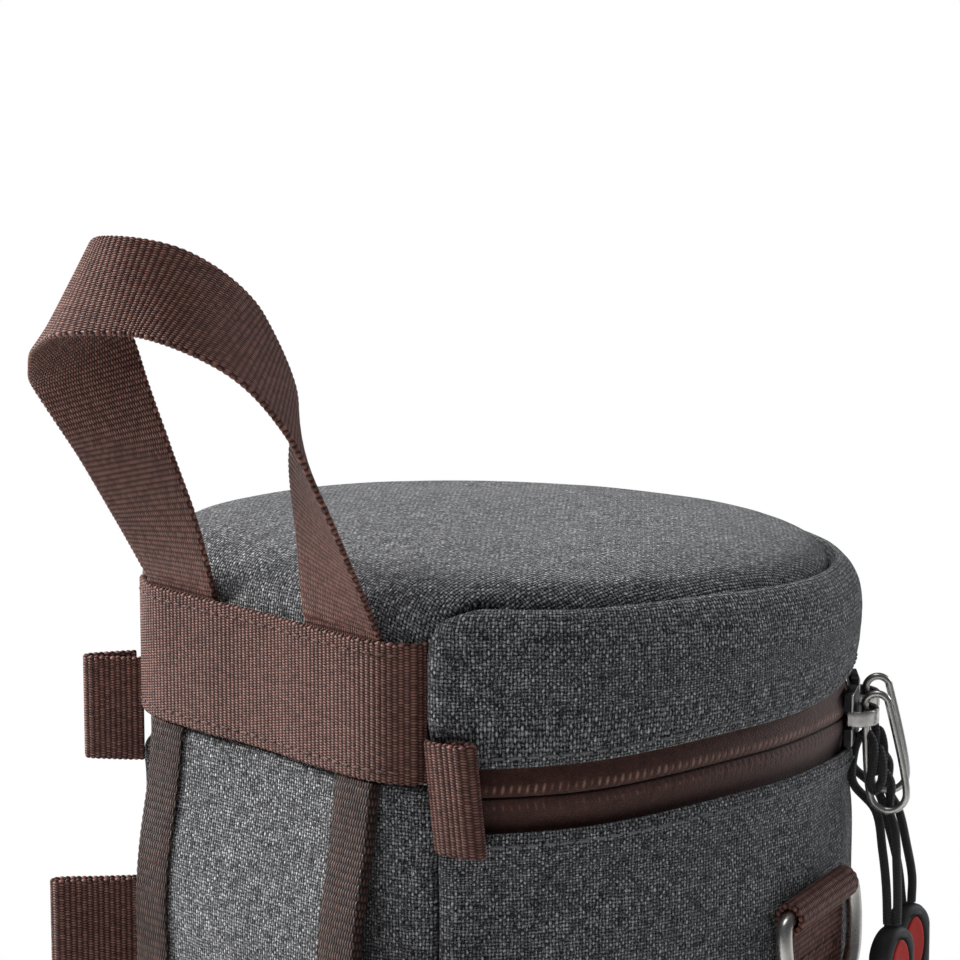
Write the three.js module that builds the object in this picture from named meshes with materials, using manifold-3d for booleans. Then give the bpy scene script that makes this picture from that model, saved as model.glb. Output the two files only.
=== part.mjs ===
// Padded shoulder bag for one camera lens: a D-shaped canvas cylinder with a zipped, hinged lid.
// Millimetres, +Z up, front at -Y, flat back at +Y. The origin is the middle of the base.
import * as THREE from 'three';
import { mergeVertices } from 'three/addons/utils/BufferGeometryUtils.js';
import Module from 'manifold-3d';

const { degToRad } = THREE.MathUtils;

// Driving dimensions: plan and heights
const bodyRadius = 64;
const backFlatHalf = 25;
const zipHeight = 185;
const sideSlack = 1.2;
const seamAngle = 155.8;
const gridAngle = 9;
const lidRise = 27.3;
const lidSeamSlope = 0.053;
const lidSeamInset = 6;

// Driving dimensions: cloth, padding and clearances
const seat = 0.3;
const canvas = 1.5;
const padding = 5.3;
const liningCloth = 0.8;
const webbing = 1.2;
const boardThickness = 2;
const floorPadding = 5.8;

// Driving dimensions: zip
const zipOpening = 10.7;
const tapeWidth = 10.5;
const tapeThickness = 0.8;
const tapeInset = 3;
const chainWidth = 2.8;
const chainDepth = 0.7;
const ribHeight = 0.4;
const ribPitch = 6;
const zipSlit = 1;
const zipEndAngle = 153;

// Driving dimensions: sliders and pulls
const sliderLength = 11;
const sliderWidth = 9.8;
const sliderPlate = 1.1;
const sliderPlateGap = 0.35;
const sliderBackPlate = 1;
const sliderPost = 0.4;
const sliderAAngle = 28.5;
const sliderBAngle = 40.5;
const bridgeHeight = 2.2;
const bridgeStrap = 0.7;
const bridgeRise = 4.45;
const bridgeSpan = 8.6;
const pullWire = 1.1;
const pullTopRadius = 2;
const pullFootRadius = 3;
const pullTopAbove = 1.4;
const pullLength = 13.6;
const pullLean = 3.8;
const pullCord = 2.2;
const pullCordLength = 20;
const pullEndWidth = 12;
const pullEndThickness = 4.4;
const pullEndHeight = 25;

// Driving dimensions: webbing band, handle, flap and tabs
const bandWidth = 25;
const bandThickness = 1.5;
const bandEndAngle = 158.5;
const handleWidth = 20;
const handleThickness = 1.4;
const handleFootOffset = 22.5;
const handleReach = 34.9;
const handleHeight = 60.3;
const tabWidth = 20;
const zipTabReach = 9.5;
const rearTabWidth = 25;
const rearTabReach = 21;
const rearTabDrop = 36;
const flapHalfWidth = 32;
const bindingWidth = 10;
const bindingCloth = 0.6;
const flapCloth = 1.2;
const flapDrop = 1.4;
const flapBottom = 60;
const flapBow = 9.2;

// Driving dimensions: carrying rings
const ringAngle = 11.5;
const ringBarDrop = 29.5;
const ringWire = 3;
const ringTabLength = 33.5;
const ringLeg = 8;
const ringTilt = 5.8;

// Heights and reaches that follow from the driving dimensions
const bandBottom = zipHeight;
const bandTop = bandBottom + bandWidth;
const bodyTop = zipHeight - 0.8;
const lidBottom = zipHeight - 0.2;
const lidSeamHeight = zipHeight + lidRise;
const flapTop = zipHeight - flapDrop;
const rearTabTop = zipHeight - rearTabDrop;
const ringBarHeight = zipHeight - ringBarDrop;
const ringTabBottom = ringBarHeight - ringTabLength;
const sideTop = zipHeight - zipOpening / 2;
const gussetBottom = zipHeight + zipOpening / 2 + 0.2;
const tapeLow = zipHeight - zipSlit / 2 - tapeWidth;
const tapeHigh = zipHeight + zipSlit / 2 + tapeWidth;
const wallBottom = canvas + seat;
const paddingInner = tapeInset + padding;
const liningOuter = paddingInner + seat;
const liningInner = liningOuter + liningCloth;
const tapeInner = tapeInset + tapeThickness;
const liningEdge = tapeInner + seat;
const boardTop = wallBottom + boardThickness;
const floorPadTop = boardTop + seat + floorPadding;
const floorBottom = floorPadTop + seat;
const chainBack = tapeInset - seat;
const plateInner = bodyRadius - chainBack + chainDepth + sliderPlateGap;
const plateOuter = plateInner + sliderPlate;
const bridgeReach = plateOuter + bridgeRise;

const colours = {
  canvas: { color: 0x6b6d72, roughness: 0.95, metalness: 0 },
  webbing: { color: 0x4a2f2b, roughness: 0.8, metalness: 0 },
  binding: { color: 0x3d2622, roughness: 0.85, metalness: 0 },
  zipTape: { color: 0x4f342c, roughness: 0.5, metalness: 0 },
  padding: { color: 0x8a8a8a, roughness: 1, metalness: 0 },
  lining: { color: 0x3b3c40, roughness: 0.9, metalness: 0 },
  board: { color: 0x26272a, roughness: 0.7, metalness: 0 },
  slider: { color: 0x2b2b2c, roughness: 0.35, metalness: 0.9 },
  nickel: { color: 0xb9b7b2, roughness: 0.3, metalness: 1 },
  cord: { color: 0x141415, roughness: 0.85, metalness: 0 },
  rubber: { color: 0x1a1a1b, roughness: 0.6, metalness: 0 },
  inlay: { color: 0xd23a26, roughness: 0.5, metalness: 0 },
};

const wasm = await Module();
wasm.setup();
const group = new THREE.Group();

/** Add one named piece. */
function addPiece(name, geometry, colour, parent = group) {
  const mesh = new THREE.Mesh(geometry, new THREE.MeshStandardMaterial(colours[colour]));
  mesh.name = name;
  parent.add(mesh);
  return mesh;
}

/** Keep only the positions of a geometry and join the vertices that coincide. */
function weld(geometry) {
  const bare = new THREE.BufferGeometry();
  bare.setAttribute('position', geometry.getAttribute('position').clone());
  if (geometry.index) {
    bare.setIndex(geometry.index.clone());
  }
  return mergeVertices(bare, 1e-4);
}

/** Turn a closed geometry into a solid that can be joined and cut. */
function toSolid(geometry) {
  const welded = weld(geometry);
  return new wasm.Manifold(new wasm.Mesh({
    numProp: 3,
    vertProperties: new Float32Array(welded.getAttribute('position').array),
    triVerts: new Uint32Array(welded.index.array),
  }));
}

/** Turn a solid back into a geometry. */
function fromSolid(solid) {
  const mesh = solid.getMesh();
  const geometry = new THREE.BufferGeometry();
  geometry.setAttribute('position', new THREE.BufferAttribute(new Float32Array(mesh.vertProperties), 3));
  geometry.setIndex(new THREE.BufferAttribute(new Uint32Array(mesh.triVerts), 1));
  return geometry;
}

/** Join closed geometries that overlap into one. */
function join(...geometries) {
  return fromSolid(geometries.map(toSolid).reduce((whole, next) => whole.add(next)));
}

/** Cut one closed geometry out of another. */
function cut(geometry, tool) {
  return fromSolid(toSolid(geometry).subtract(toSolid(tool)));
}

/** Triangles that close a polygon of points, wound like the polygon. */
function capTriangles(ring) {
  const normal = new THREE.Vector3();
  ring.forEach((point, i) => {
    const next = ring[(i + 1) % ring.length];
    normal.add(new THREE.Vector3().crossVectors(point, next));
  });
  normal.normalize();
  const across = new THREE.Vector3(1, 0, 0);
  if (Math.abs(normal.x) > 0.8) {
    across.set(0, 1, 0);
  }
  const axisU = new THREE.Vector3().crossVectors(normal, across).normalize();
  const axisV = new THREE.Vector3().crossVectors(normal, axisU);
  const flat = ring.map((point) => new THREE.Vector2(point.dot(axisU), point.dot(axisV)));
  const turn = Math.sign(THREE.ShapeUtils.area(flat));
  return THREE.ShapeUtils.triangulateShape(flat, []).map(([a, b, c]) => {
    const same = Math.sign(THREE.ShapeUtils.area([flat[a], flat[b], flat[c]])) === turn;
    return same ? [a, b, c] : [a, c, b];
  });
}

/** Skin rings of points into one closed body, with its two ends capped or joined to each other. */
function loft(rings, looped = false) {
  const size = rings[0].length;
  const count = rings.length;
  const triangles = [];
  for (let i = 0; i < (looped ? count : count - 1); i += 1) {
    const here = i * size;
    const there = ((i + 1) % count) * size;
    for (let j = 0; j < size; j += 1) {
      const next = (j + 1) % size;
      triangles.push(here + j, here + next, there + next, here + j, there + next, there + j);
    }
  }
  if (!looped) {
    const last = (count - 1) * size;
    capTriangles(rings[0]).forEach(([a, b, c]) => triangles.push(a, c, b));
    capTriangles(rings[count - 1]).forEach(([a, b, c]) => triangles.push(last + a, last + b, last + c));
  }
  const points = rings.flat();
  let volume = 0;
  for (let i = 0; i < triangles.length; i += 3) {
    const [a, b, c] = [0, 1, 2].map((k) => points[triangles[i + k]]);
    volume += a.dot(new THREE.Vector3().crossVectors(b, c));
  }
  if (volume < 0) {
    triangles.reverse();
  }
  const geometry = new THREE.BufferGeometry().setFromPoints(points);
  geometry.setIndex(triangles);
  return geometry;
}

/**
 * Point of the plan outline. Station 0 is the middle of the front, 90 the side and 180 the corner of
 * the flat back; past 180 it counts millimetres towards the middle of the back. Stations below 0
 * are on the -X side.
 */
function planPoint(station, inset) {
  const side = station < 0 ? -1 : 1;
  const reach = Math.abs(station);
  const radius = bodyRadius - inset;
  if (reach <= 90) {
    const turn = degToRad(reach);
    return new THREE.Vector2(side * radius * Math.sin(turn), -radius * Math.cos(turn));
  }
  if (reach <= 180) {
    const turn = degToRad(reach - 90);
    const across = backFlatHalf + (radius - backFlatHalf) * Math.cos(turn);
    return new THREE.Vector2(side * across, radius * Math.sin(turn));
  }
  return new THREE.Vector2(side * (backFlatHalf - (reach - 180)), radius);
}

/** Station on the back of the outline, from its distance to the middle plane. */
function stationAt(x) {
  if (x <= backFlatHalf) {
    return 180 + backFlatHalf - x;
  }
  return 90 + THREE.MathUtils.radToDeg(Math.acos((x - backFlatHalf) / (bodyRadius - backFlatHalf)));
}

const backMiddle = 180 + backFlatHalf;
const gridStations = [];
for (let station = 0; station <= 180; station += gridAngle) {
  gridStations.push(station);
}

/** Stations from one end of a panel to the other, round the front. */
function frontStations(end) {
  const half = [...gridStations.filter((station) => station < end - 1), end];
  return [...half.slice(1).reverse().map((station) => -station), ...half];
}

/** Stations from one end of a panel to the other, round the back. */
function backStations(end) {
  const half = [end, ...gridStations.filter((station) => station > end + 1)];
  return [...half, backMiddle, ...[...half].reverse().map((station) => -station)];
}

const loopStations = [...frontStations(180), backMiddle];

/** Wall that follows the plan: its section is a list of [inset, height] at each station. */
function wall(stations, sectionAt, looped = false) {
  const rings = stations.map((station) => sectionAt(station).map(([inset, z]) => {
    const point = planPoint(station, inset);
    return new THREE.Vector3(point.x, point.y, z);
  }));
  return loft(rings, looped);
}

/** Whole outline at one inset and height. Deep insets shrink towards the middle. */
function outline(inset, heightAt) {
  const deepest = 10;
  return loopStations.map((station) => {
    const own = typeof inset === 'function' ? inset(station) : inset;
    const point = planPoint(station, Math.min(own, deepest));
    if (own > deepest) {
      point.multiplyScalar((bodyRadius - own) / (bodyRadius - deepest));
    }
    return new THREE.Vector3(point.x, point.y, heightAt(point.y));
  });
}

const level = (z) => () => z;
const seamHeight = (y) => lidSeamHeight + lidSeamSlope * y;

/** Inset of the side cloth under the lid: it hangs a little inside the lid and meets the back flush. */
function slackAt(station) {
  return sideSlack * THREE.MathUtils.clamp((seamAngle - Math.abs(station)) / 30, 0, 1);
}

/** Cloth sinks into the seam at the end of a panel. */
function withSeamEnds(stations, depth) {
  const last = Math.abs(stations[0]);
  return (station) => (Math.abs(Math.abs(station) - last) < 0.01 ? depth : 0);
}

/** Rise of the padded lid above the plane of its seam, by inset. */
const crown = [[0, -5], [lidSeamInset, 0], [10, 3], [15, 3.9], [22, 4.6], [30, 5.6], [40, 6.5], [60, 7.2]];
function crownRise(inset) {
  const next = crown.findIndex(([at]) => at >= inset);
  if (next <= 0) {
    return crown[0][1];
  }
  const [[fromInset, fromRise], [toInset, toRise]] = [crown[next - 1], crown[next]];
  return fromRise + ((toRise - fromRise) * (inset - fromInset)) / (toInset - fromInset);
}

const crownInsets = [10, 15, 22, 30, 40, 60];
const innerInsets = [10, 22, 40, 60];

/** Crowned plate under the lid's top face, this far below it. */
function crownRings(edgeInset, below, insets = crownInsets) {
  return [edgeInset, ...insets].map((inset) => {
    const drop = crownRise(inset) - below;
    return outline(inset, (y) => seamHeight(y) + drop);
  });
}

/** Strip of cloth of even thickness: an outline round a centre line drawn in a plane. */
function stripShape(centreLine, thickness) {
  const sides = [[], []];
  centreLine.forEach((point, i) => {
    const before = centreLine[Math.max(i - 1, 0)];
    const after = centreLine[Math.min(i + 1, centreLine.length - 1)];
    const along = new THREE.Vector2().subVectors(after, before).normalize();
    const out = new THREE.Vector2(-along.y, along.x).multiplyScalar(thickness / 2);
    sides[0].push(point.clone().add(out));
    sides[1].unshift(point.clone().sub(out));
  });
  return new THREE.Shape([...sides[0], ...sides[1]]);
}

/** Smooth plane line through chosen points. */
function smoothLine(pairs, divisions) {
  return new THREE.SplineCurve(pairs.map(([u, v]) => new THREE.Vector2(u, v))).getPoints(divisions);
}

/** Group turned about the upright axis, so that its +X axis points away from the bag at this angle. */
function radialGroup(angle) {
  const holder = new THREE.Group();
  holder.rotation.z = degToRad(180 + angle);
  group.add(holder);
  return holder;
}

/** Lay a shape drawn in the radial plane (away from the bag, up) across the tangent. */
function acrossTangent(shape, width) {
  const geometry = new THREE.ExtrudeGeometry(shape, { depth: width, bevelEnabled: false });
  geometry.rotateX(Math.PI / 2);
  geometry.translate(0, width / 2, 0);
  return geometry;
}

// Base
function addBase() {
  addPiece('base_panel', loft([
    outline(sideSlack + 1, level(0)),
    outline(sideSlack, level(canvas / 2)),
    outline(sideSlack, level(canvas)),
  ]), 'canvas');
  addPiece('base_board', loft([
    outline(liningOuter, level(wallBottom)),
    outline(liningOuter, level(boardTop)),
  ]), 'board');
  addPiece('base_padding', loft([
    outline(liningOuter, level(boardTop + seat)),
    outline(liningOuter, level(floorPadTop)),
  ]), 'padding');
}

// Walls of the body
function addBody() {
  const backEnds = backStations(seamAngle + 0.2);
  const backSink = withSeamEnds(backEnds, 1);
  addPiece('back_panel', wall(backEnds, (station) => [
    [backSink(station), wallBottom],
    [backSink(station), bodyTop],
    [canvas, bodyTop],
    [canvas, wallBottom],
  ]), 'canvas');
  const sideEnds = frontStations(seamAngle - 0.2);
  const sideSink = withSeamEnds(sideEnds, 1);
  addPiece('side_panel', wall(sideEnds, (station) => [
    [slackAt(station) + sideSink(station), wallBottom],
    [slackAt(station) + sideSink(station), sideTop],
    [slackAt(station) + canvas, sideTop],
    [slackAt(station) + canvas, wallBottom],
  ]), 'canvas');
  const shoulder = tapeLow - 3;
  addPiece('body_padding', wall(loopStations, (station) => [
    [slackAt(station) + canvas + seat, wallBottom],
    [slackAt(station) + canvas + seat, tapeLow - 0.5],
    [liningEdge, tapeLow],
    [liningEdge, tapeLow + (Math.abs(station) > 150 ? 0.4 : 2)],
    [paddingInner, shoulder + 0.5],
    [paddingInner, wallBottom],
  ], true), 'padding');
  const edge = (station) => (Math.abs(station) > 160 ? canvas + seat : liningEdge);
  addPiece('body_lining', loft([
    outline(liningOuter, level(floorBottom)),
    outline(liningOuter, level(shoulder + 0.7)),
    outline(edge, level(tapeLow + 2.8)),
    outline(edge, level(tapeLow + 3.7)),
    outline(liningInner, level(shoulder + 1.2)),
    outline(liningInner, level(floorBottom + liningCloth)),
  ]), 'lining');
}

// Lid
function addLid() {
  const plate = loft([...crownRings(lidSeamInset + seat, canvas).reverse(),
    ...crownRings(lidSeamInset + seat, 0, [8, ...crownInsets])]);
  const backEdge = backStations(seamAngle + 0.2);
  const backSink = withSeamEnds(backEdge, 1);
  const backFold = wall(backEdge, (station) => {
    const top = seamHeight(planPoint(station, 3).y);
    return [
      [backSink(station), lidBottom],
      [backSink(station), top - 5],
      [1, top - 2.6],
      [3, top - 0.3],
      [6, top + 1.6],
      [9, top + 2.7],
      [10.5, top + 2.9],
      [10.5, top + 1.5],
      [6.6, top],
      [3.8, top - 1.9],
      [2.4, top - 3.6],
      [canvas, top - 5.4],
      [canvas, lidBottom],
    ];
  });
  addPiece('lid_top', join(plate, backFold), 'canvas');
  const gussetEnds = frontStations(seamAngle - 0.2);
  const gussetSink = withSeamEnds(gussetEnds, 1);
  addPiece('lid_gusset', wall(gussetEnds, (station) => {
    const top = seamHeight(planPoint(station, 3).y);
    const sink = gussetSink(station);
    return [
      [sideSlack, gussetBottom],
      [Math.max(0.3, sink), gussetBottom + 3.5],
      [sink, gussetBottom + 7.5],
      [sink, top - 5],
      [0.8 + sink / 3, top - 2.6],
      [2.6, top - 0.9],
      [lidSeamInset - seat, top - 0.2],
      [lidSeamInset - seat, top - 1.7],
      [3.2, top - 2.5],
      [2.2, top - 3.7],
      [canvas, top - 5.4],
      [canvas, gussetBottom + 7.5],
      [canvas + 0.4, gussetBottom + 3.6],
      [sideSlack + canvas, gussetBottom],
    ];
  }), 'canvas');
  const padEdge = lidSeamInset + 0.7;
  addPiece('lid_padding', loft([
    ...crownRings(padEdge, canvas + seat + padding, innerInsets).reverse(),
    ...crownRings(padEdge, canvas + seat, innerInsets),
  ]), 'padding');
  addPiece('gusset_padding', wall(loopStations, (station) => {
    const top = seamHeight(planPoint(station, 3).y) - 6;
    return [
      [canvas + 0.5, tapeHigh + 0.5],
      [canvas + 0.5, top],
      [5, top],
      [5, tapeHigh - 2.5],
      [liningEdge, tapeHigh - 2.5],
      [liningEdge, tapeHigh + 0.3],
    ];
  }, true), 'padding');
  const liningBelow = canvas + 2 * seat + padding;
  const lidLining = [
    ...crownRings(padEdge, liningBelow, innerInsets).reverse(),
    outline(5.3, (y) => seamHeight(y) - liningBelow - 0.6),
    outline(5.3, level(tapeHigh - 2.6)),
    outline(liningEdge, level(tapeHigh - 3.5)),
    outline(liningEdge, level(tapeHigh - 4.3)),
    outline(6.1, level(tapeHigh - 3)),
    outline(6.1, (y) => seamHeight(y) - liningBelow - 1.4),
    ...crownRings(lidSeamInset + 1.1, liningBelow + liningCloth, innerInsets),
  ];
  addPiece('lid_lining', loft(lidLining), 'lining');
  const hingeEnds = backStations(165);
  addPiece('lid_hinge_strip', wall(hingeEnds, () => [
    [canvas + seat, tapeLow + 4.3],
    [canvas + seat, zipHeight + 6],
    [canvas + seat + liningCloth, zipHeight + 6],
    [canvas + seat + liningCloth, tapeLow + 4.3],
  ]), 'lining');
}

// Zip: two tapes and two ribbed chains with a slit between them
function addZip() {
  const tapeStations = frontStations(zipEndAngle + 1);
  const tape = (low, high) => wall(tapeStations, () => [
    [tapeInset, low],
    [tapeInset, high],
    [tapeInner, high],
    [tapeInner, low],
  ]);
  const slitLow = zipHeight - zipSlit / 2;
  const slitHigh = zipHeight + zipSlit / 2;
  addPiece('lower_zip_tape', tape(tapeLow, slitLow), 'zipTape');
  addPiece('upper_zip_tape', tape(slitHigh, tapeHigh), 'zipTape');
  const degreesPerRib = THREE.MathUtils.radToDeg(ribPitch / bodyRadius);
  const ribs = Math.round((2 * zipEndAngle) / degreesPerRib);
  const ribStations = [];
  for (let i = 0; i <= 2 * ribs; i += 1) {
    ribStations.push(-zipEndAngle + (zipEndAngle * i) / ribs);
  }
  const chain = (low, high) => wall(ribStations, (station) => {
    const number = Math.round(((station + zipEndAngle) * ribs) / zipEndAngle);
    const face = chainBack - chainDepth + (number % 2 ? 0 : ribHeight);
    return [[face, low], [face, high], [chainBack, high], [chainBack, low]];
  });
  addPiece('lower_zip_chain', chain(slitLow - chainWidth, slitLow), 'zipTape');
  addPiece('upper_zip_chain', chain(slitHigh, slitHigh + chainWidth), 'zipTape');
}

/** Box with its middle given, sides along the axes. */
function box(length, depth, height, x, y, z) {
  const geometry = new THREE.BoxGeometry(length, depth, height);
  geometry.translate(x, y, z);
  return geometry;
}

/** Slider with its two plates, the post between the chains and the bridge that holds the pull. */
function sliderGeometry() {
  const backOuter = (bodyRadius - tapeInner) * Math.cos(sliderLength / 2 / bodyRadius) - 0.5;
  const backInner = backOuter - sliderBackPlate;
  const lipHeight = 1.1;
  const lipDrop = 0.7;
  const half = sliderWidth / 2;
  const nose = sliderLength / 2;
  const plan = new THREE.Shape();
  plan.moveTo(-nose, -half);
  plan.lineTo(nose - 2.5, -half);
  plan.quadraticCurveTo(nose, -half, nose, -half + 2.5);
  plan.lineTo(nose, half - 2.5);
  plan.quadraticCurveTo(nose, half, nose - 2.5, half);
  plan.lineTo(-nose, half);
  plan.lineTo(-nose, 1.6);
  plan.quadraticCurveTo(-nose + 2.2, 0, -nose, -1.6);
  plan.closePath();
  const plateAt = (inner, outer) => {
    const plate = new THREE.ExtrudeGeometry(plan, {
      depth: outer - inner, bevelEnabled: false, curveSegments: 3,
    });
    plate.rotateY(Math.PI / 2);
    plate.rotateX(Math.PI / 2);
    plate.translate(inner, 0, zipHeight);
    return plate;
  };
  const lip = (side) => box(sliderPlate + lipDrop, sliderLength - 4, lipHeight,
    (plateOuter + plateInner - lipDrop) / 2, 0, zipHeight + side * (half - lipHeight / 2));
  const post = box(plateInner - backOuter + 0.6, 5, sliderPost, (plateInner + backOuter) / 2, 0, zipHeight);
  const archLine = smoothLine([
    [plateInner + 0.3, -bridgeSpan / 2],
    [plateOuter + 1.5, -bridgeSpan / 2 + 0.2],
    [bridgeReach - 0.5, -bridgeSpan / 4],
    [bridgeReach, 0],
    [bridgeReach - 0.5, bridgeSpan / 4],
    [plateOuter + 1.5, bridgeSpan / 2 - 0.2],
    [plateInner + 0.3, bridgeSpan / 2],
  ], 12);
  const arch = new THREE.ExtrudeGeometry(stripShape(archLine, bridgeStrap), {
    depth: bridgeHeight, bevelEnabled: false,
  });
  arch.translate(0, 0, zipHeight - bridgeHeight / 2);
  return join(plateAt(plateInner, plateOuter), plateAt(backInner, backOuter), post, lip(-1), lip(1), arch);
}

/** Closed pear-shaped wire loop in the radial plane. */
function pullRingGeometry() {
  const topCentre = new THREE.Vector2(bridgeReach - 0.1, zipHeight + pullTopAbove);
  const footCentre = new THREE.Vector2(topCentre.x + pullLean, topCentre.y - pullLength);
  const points = [];
  for (let angle = -10; angle <= 190; angle += 40) {
    points.push([topCentre, pullTopRadius, angle]);
  }
  for (let angle = 190; angle <= 350; angle += 32) {
    points.push([footCentre, pullFootRadius, angle]);
  }
  const lean = Math.atan2(pullLean, pullLength);
  const path = new THREE.CatmullRomCurve3(points.map(([centre, radius, angle]) => new THREE.Vector3(
    centre.x + radius * Math.cos(degToRad(angle) + lean),
    0,
    centre.y + radius * Math.sin(degToRad(angle) + lean),
  )), true, 'centripetal');
  return weld(new THREE.TubeGeometry(path, 26, pullWire / 2, 6, true));
}

/** Foot of the wire loop: the place that the cord hangs from. */
function pullFoot() {
  return new THREE.Vector2(
    bridgeReach - 0.1 + pullLean,
    zipHeight + pullTopAbove - pullLength - pullFootRadius,
  );
}

/** Doubled cord over the foot of the wire loop. */
function pullCordGeometry() {
  const foot = pullFoot();
  const bend = pullWire / 2 + seat + pullCord / 2;
  const points = [new THREE.Vector3(foot.x, -bend, foot.y - pullCordLength)];
  for (let angle = 180; angle >= 0; angle -= 45) {
    points.push(new THREE.Vector3(
      foot.x,
      bend * Math.cos(degToRad(angle)),
      foot.y + bend * Math.sin(degToRad(angle)),
    ));
  }
  points.push(new THREE.Vector3(foot.x, bend, foot.y - pullCordLength));
  const path = new THREE.CatmullRomCurve3(points, false, 'centripetal');
  const section = new THREE.Shape();
  section.absarc(0, 0, pullCord / 2, 0, 2 * Math.PI);
  return weld(new THREE.ExtrudeGeometry(section, {
    steps: 24, extrudePath: path, bevelEnabled: false, curveSegments: 4,
  }));
}

/** Outline with two half-round ends. */
function pullEndShape(width, height) {
  const shape = new THREE.Shape();
  const radius = width / 2;
  shape.absarc(0, height / 2 - radius, radius, 0, Math.PI);
  shape.absarc(0, -height / 2 + radius, radius, Math.PI, 2 * Math.PI);
  shape.closePath();
  return shape;
}

const pullEndFloor = 0.8;
const inlayWidth = 6.4;
const inlayHeight = 11;

/** Rounded rubber end with a shallow oval recess on its outer face. */
function pullEndGeometry() {
  const bevel = 1;
  const body = new THREE.ExtrudeGeometry(pullEndShape(pullEndWidth - 2 * bevel, pullEndHeight - 2 * bevel), {
    depth: pullEndThickness - 2 * bevel,
    bevelThickness: bevel,
    bevelSize: bevel,
    bevelSegments: 1,
    curveSegments: 7,
  });
  body.translate(0, 0, bevel);
  const recess = new THREE.CylinderGeometry(1, 1, pullEndFloor * 2, 20);
  recess.rotateX(Math.PI / 2);
  recess.scale(inlayWidth / 2 + seat, inlayHeight / 2 + seat, 1);
  recess.translate(0, 0, pullEndThickness);
  return cut(body, recess);
}

/** Turn a piece drawn flat, with its face up, to face away from the bag. */
function facingOut(geometry) {
  geometry.rotateX(Math.PI / 2);
  geometry.rotateZ(Math.PI / 2);
  return geometry;
}

/** One slider with everything that hangs on it. */
function addSlider(letter, angle) {
  const holder = radialGroup(angle);
  addPiece(`slider_${letter}`, sliderGeometry(), 'slider', holder);
  addPiece(`pull_ring_${letter}`, pullRingGeometry(), 'nickel', holder);
  addPiece(`pull_cord_${letter}`, pullCordGeometry(), 'cord', holder);
  const foot = pullFoot();
  const endMiddle = foot.y - pullCordLength - seat - pullEndHeight / 2;
  const inner = foot.x - pullCord / 2 - 0.4;
  const end = addPiece(`pull_end_${letter}`, facingOut(pullEndGeometry()), 'rubber', holder);
  end.position.set(inner, 0, endMiddle);
  const inlay = new THREE.CylinderGeometry(1, 1, pullEndFloor - seat + 0.2, 20);
  inlay.rotateX(Math.PI / 2);
  inlay.scale(inlayWidth / 2, inlayHeight / 2, 1);
  const oval = addPiece(`pull_inlay_${letter}`, facingOut(inlay), 'inlay', holder);
  const inlayMiddle = pullEndThickness - pullEndFloor + seat + (pullEndFloor - seat + 0.2) / 2;
  oval.position.set(inner + inlayMiddle, 0, endMiddle);
}

// Webbing band round the back of the lid, over the ends of the handle
const footOuter = seat + handleThickness;
function addBand() {
  const footReach = handleWidth / 2 + 0.8;
  const overFoot = (station) => {
    const x = Math.abs(planPoint(station, 0).x);
    return Math.abs(x - handleFootOffset) < footReach + 0.1 ? footOuter : 0;
  };
  const steps = [-footReach - 1, -footReach, footReach, footReach + 1];
  const half = backStations(bandEndAngle).filter((station) => station > 0);
  half.push(...steps.map((step) => stationAt(handleFootOffset + step)));
  half.sort((a, b) => a - b);
  const all = [...half, ...[...half].reverse().slice(1).map((station) => -station)];
  addPiece('back_band', wall(all, (station) => {
    const inner = -seat - overFoot(station);
    return [
      [inner - bandThickness, bandBottom],
      [inner - bandThickness, bandTop],
      [inner, bandTop],
      [inner, bandBottom],
    ];
  }), 'webbing');
  const footHalf = handleWidth / 2;
  const footEnds = [
    handleFootOffset - footHalf, backFlatHalf, handleFootOffset, handleFootOffset + footHalf,
  ];
  for (const [name, side] of [['left', -1], ['right', 1]]) {
    const footStations = footEnds.map(stationAt).sort((a, b) => a - b).map((station) => side * station);
    addPiece(`handle_foot_${name}`, wall(footStations, () => [
      [-footOuter, bandBottom + 1.5],
      [-footOuter, bandTop + 0.1],
      [-seat, bandTop + 0.1],
      [-seat, bandBottom + 1.5],
    ]), 'webbing');
  }
}

// Handle: centre line and lie of the webbing at stations from the +X foot to the -X foot. Each row
// is x in shares of handleFootOffset, distance behind the foot in shares of handleReach, height above it
// in shares of handleHeight, and turn and dip of the outer edge in degrees.
const handleStations = [
  [1, 0, 0, 0, 0],
  [1.004, 0.132, 0.222, 9.2, 9.3],
  [1.084, 0.264, 0.446, 16, 22.4],
  [1.098, 0.47, 0.678, 34.6, 35.1],
  [0.84, 0.67, 0.823, 55.3, 46.5],
  [0.489, 0.877, 0.934, 74, 57.6],
  [0.013, 1, 1, 102, 51.5],
  [-0.556, 0.808, 0.992, 116.2, 41.3],
  [-1.018, 0.57, 0.869, 129.2, 30.3],
  [-1.173, 0.35, 0.665, 136.3, 13.4],
  [-1.133, 0.223, 0.441, 156.5, 10],
  [-1.058, 0.089, 0.214, 174, 20.2],
  [-1, 0, 0, 180, 0],
];

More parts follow.
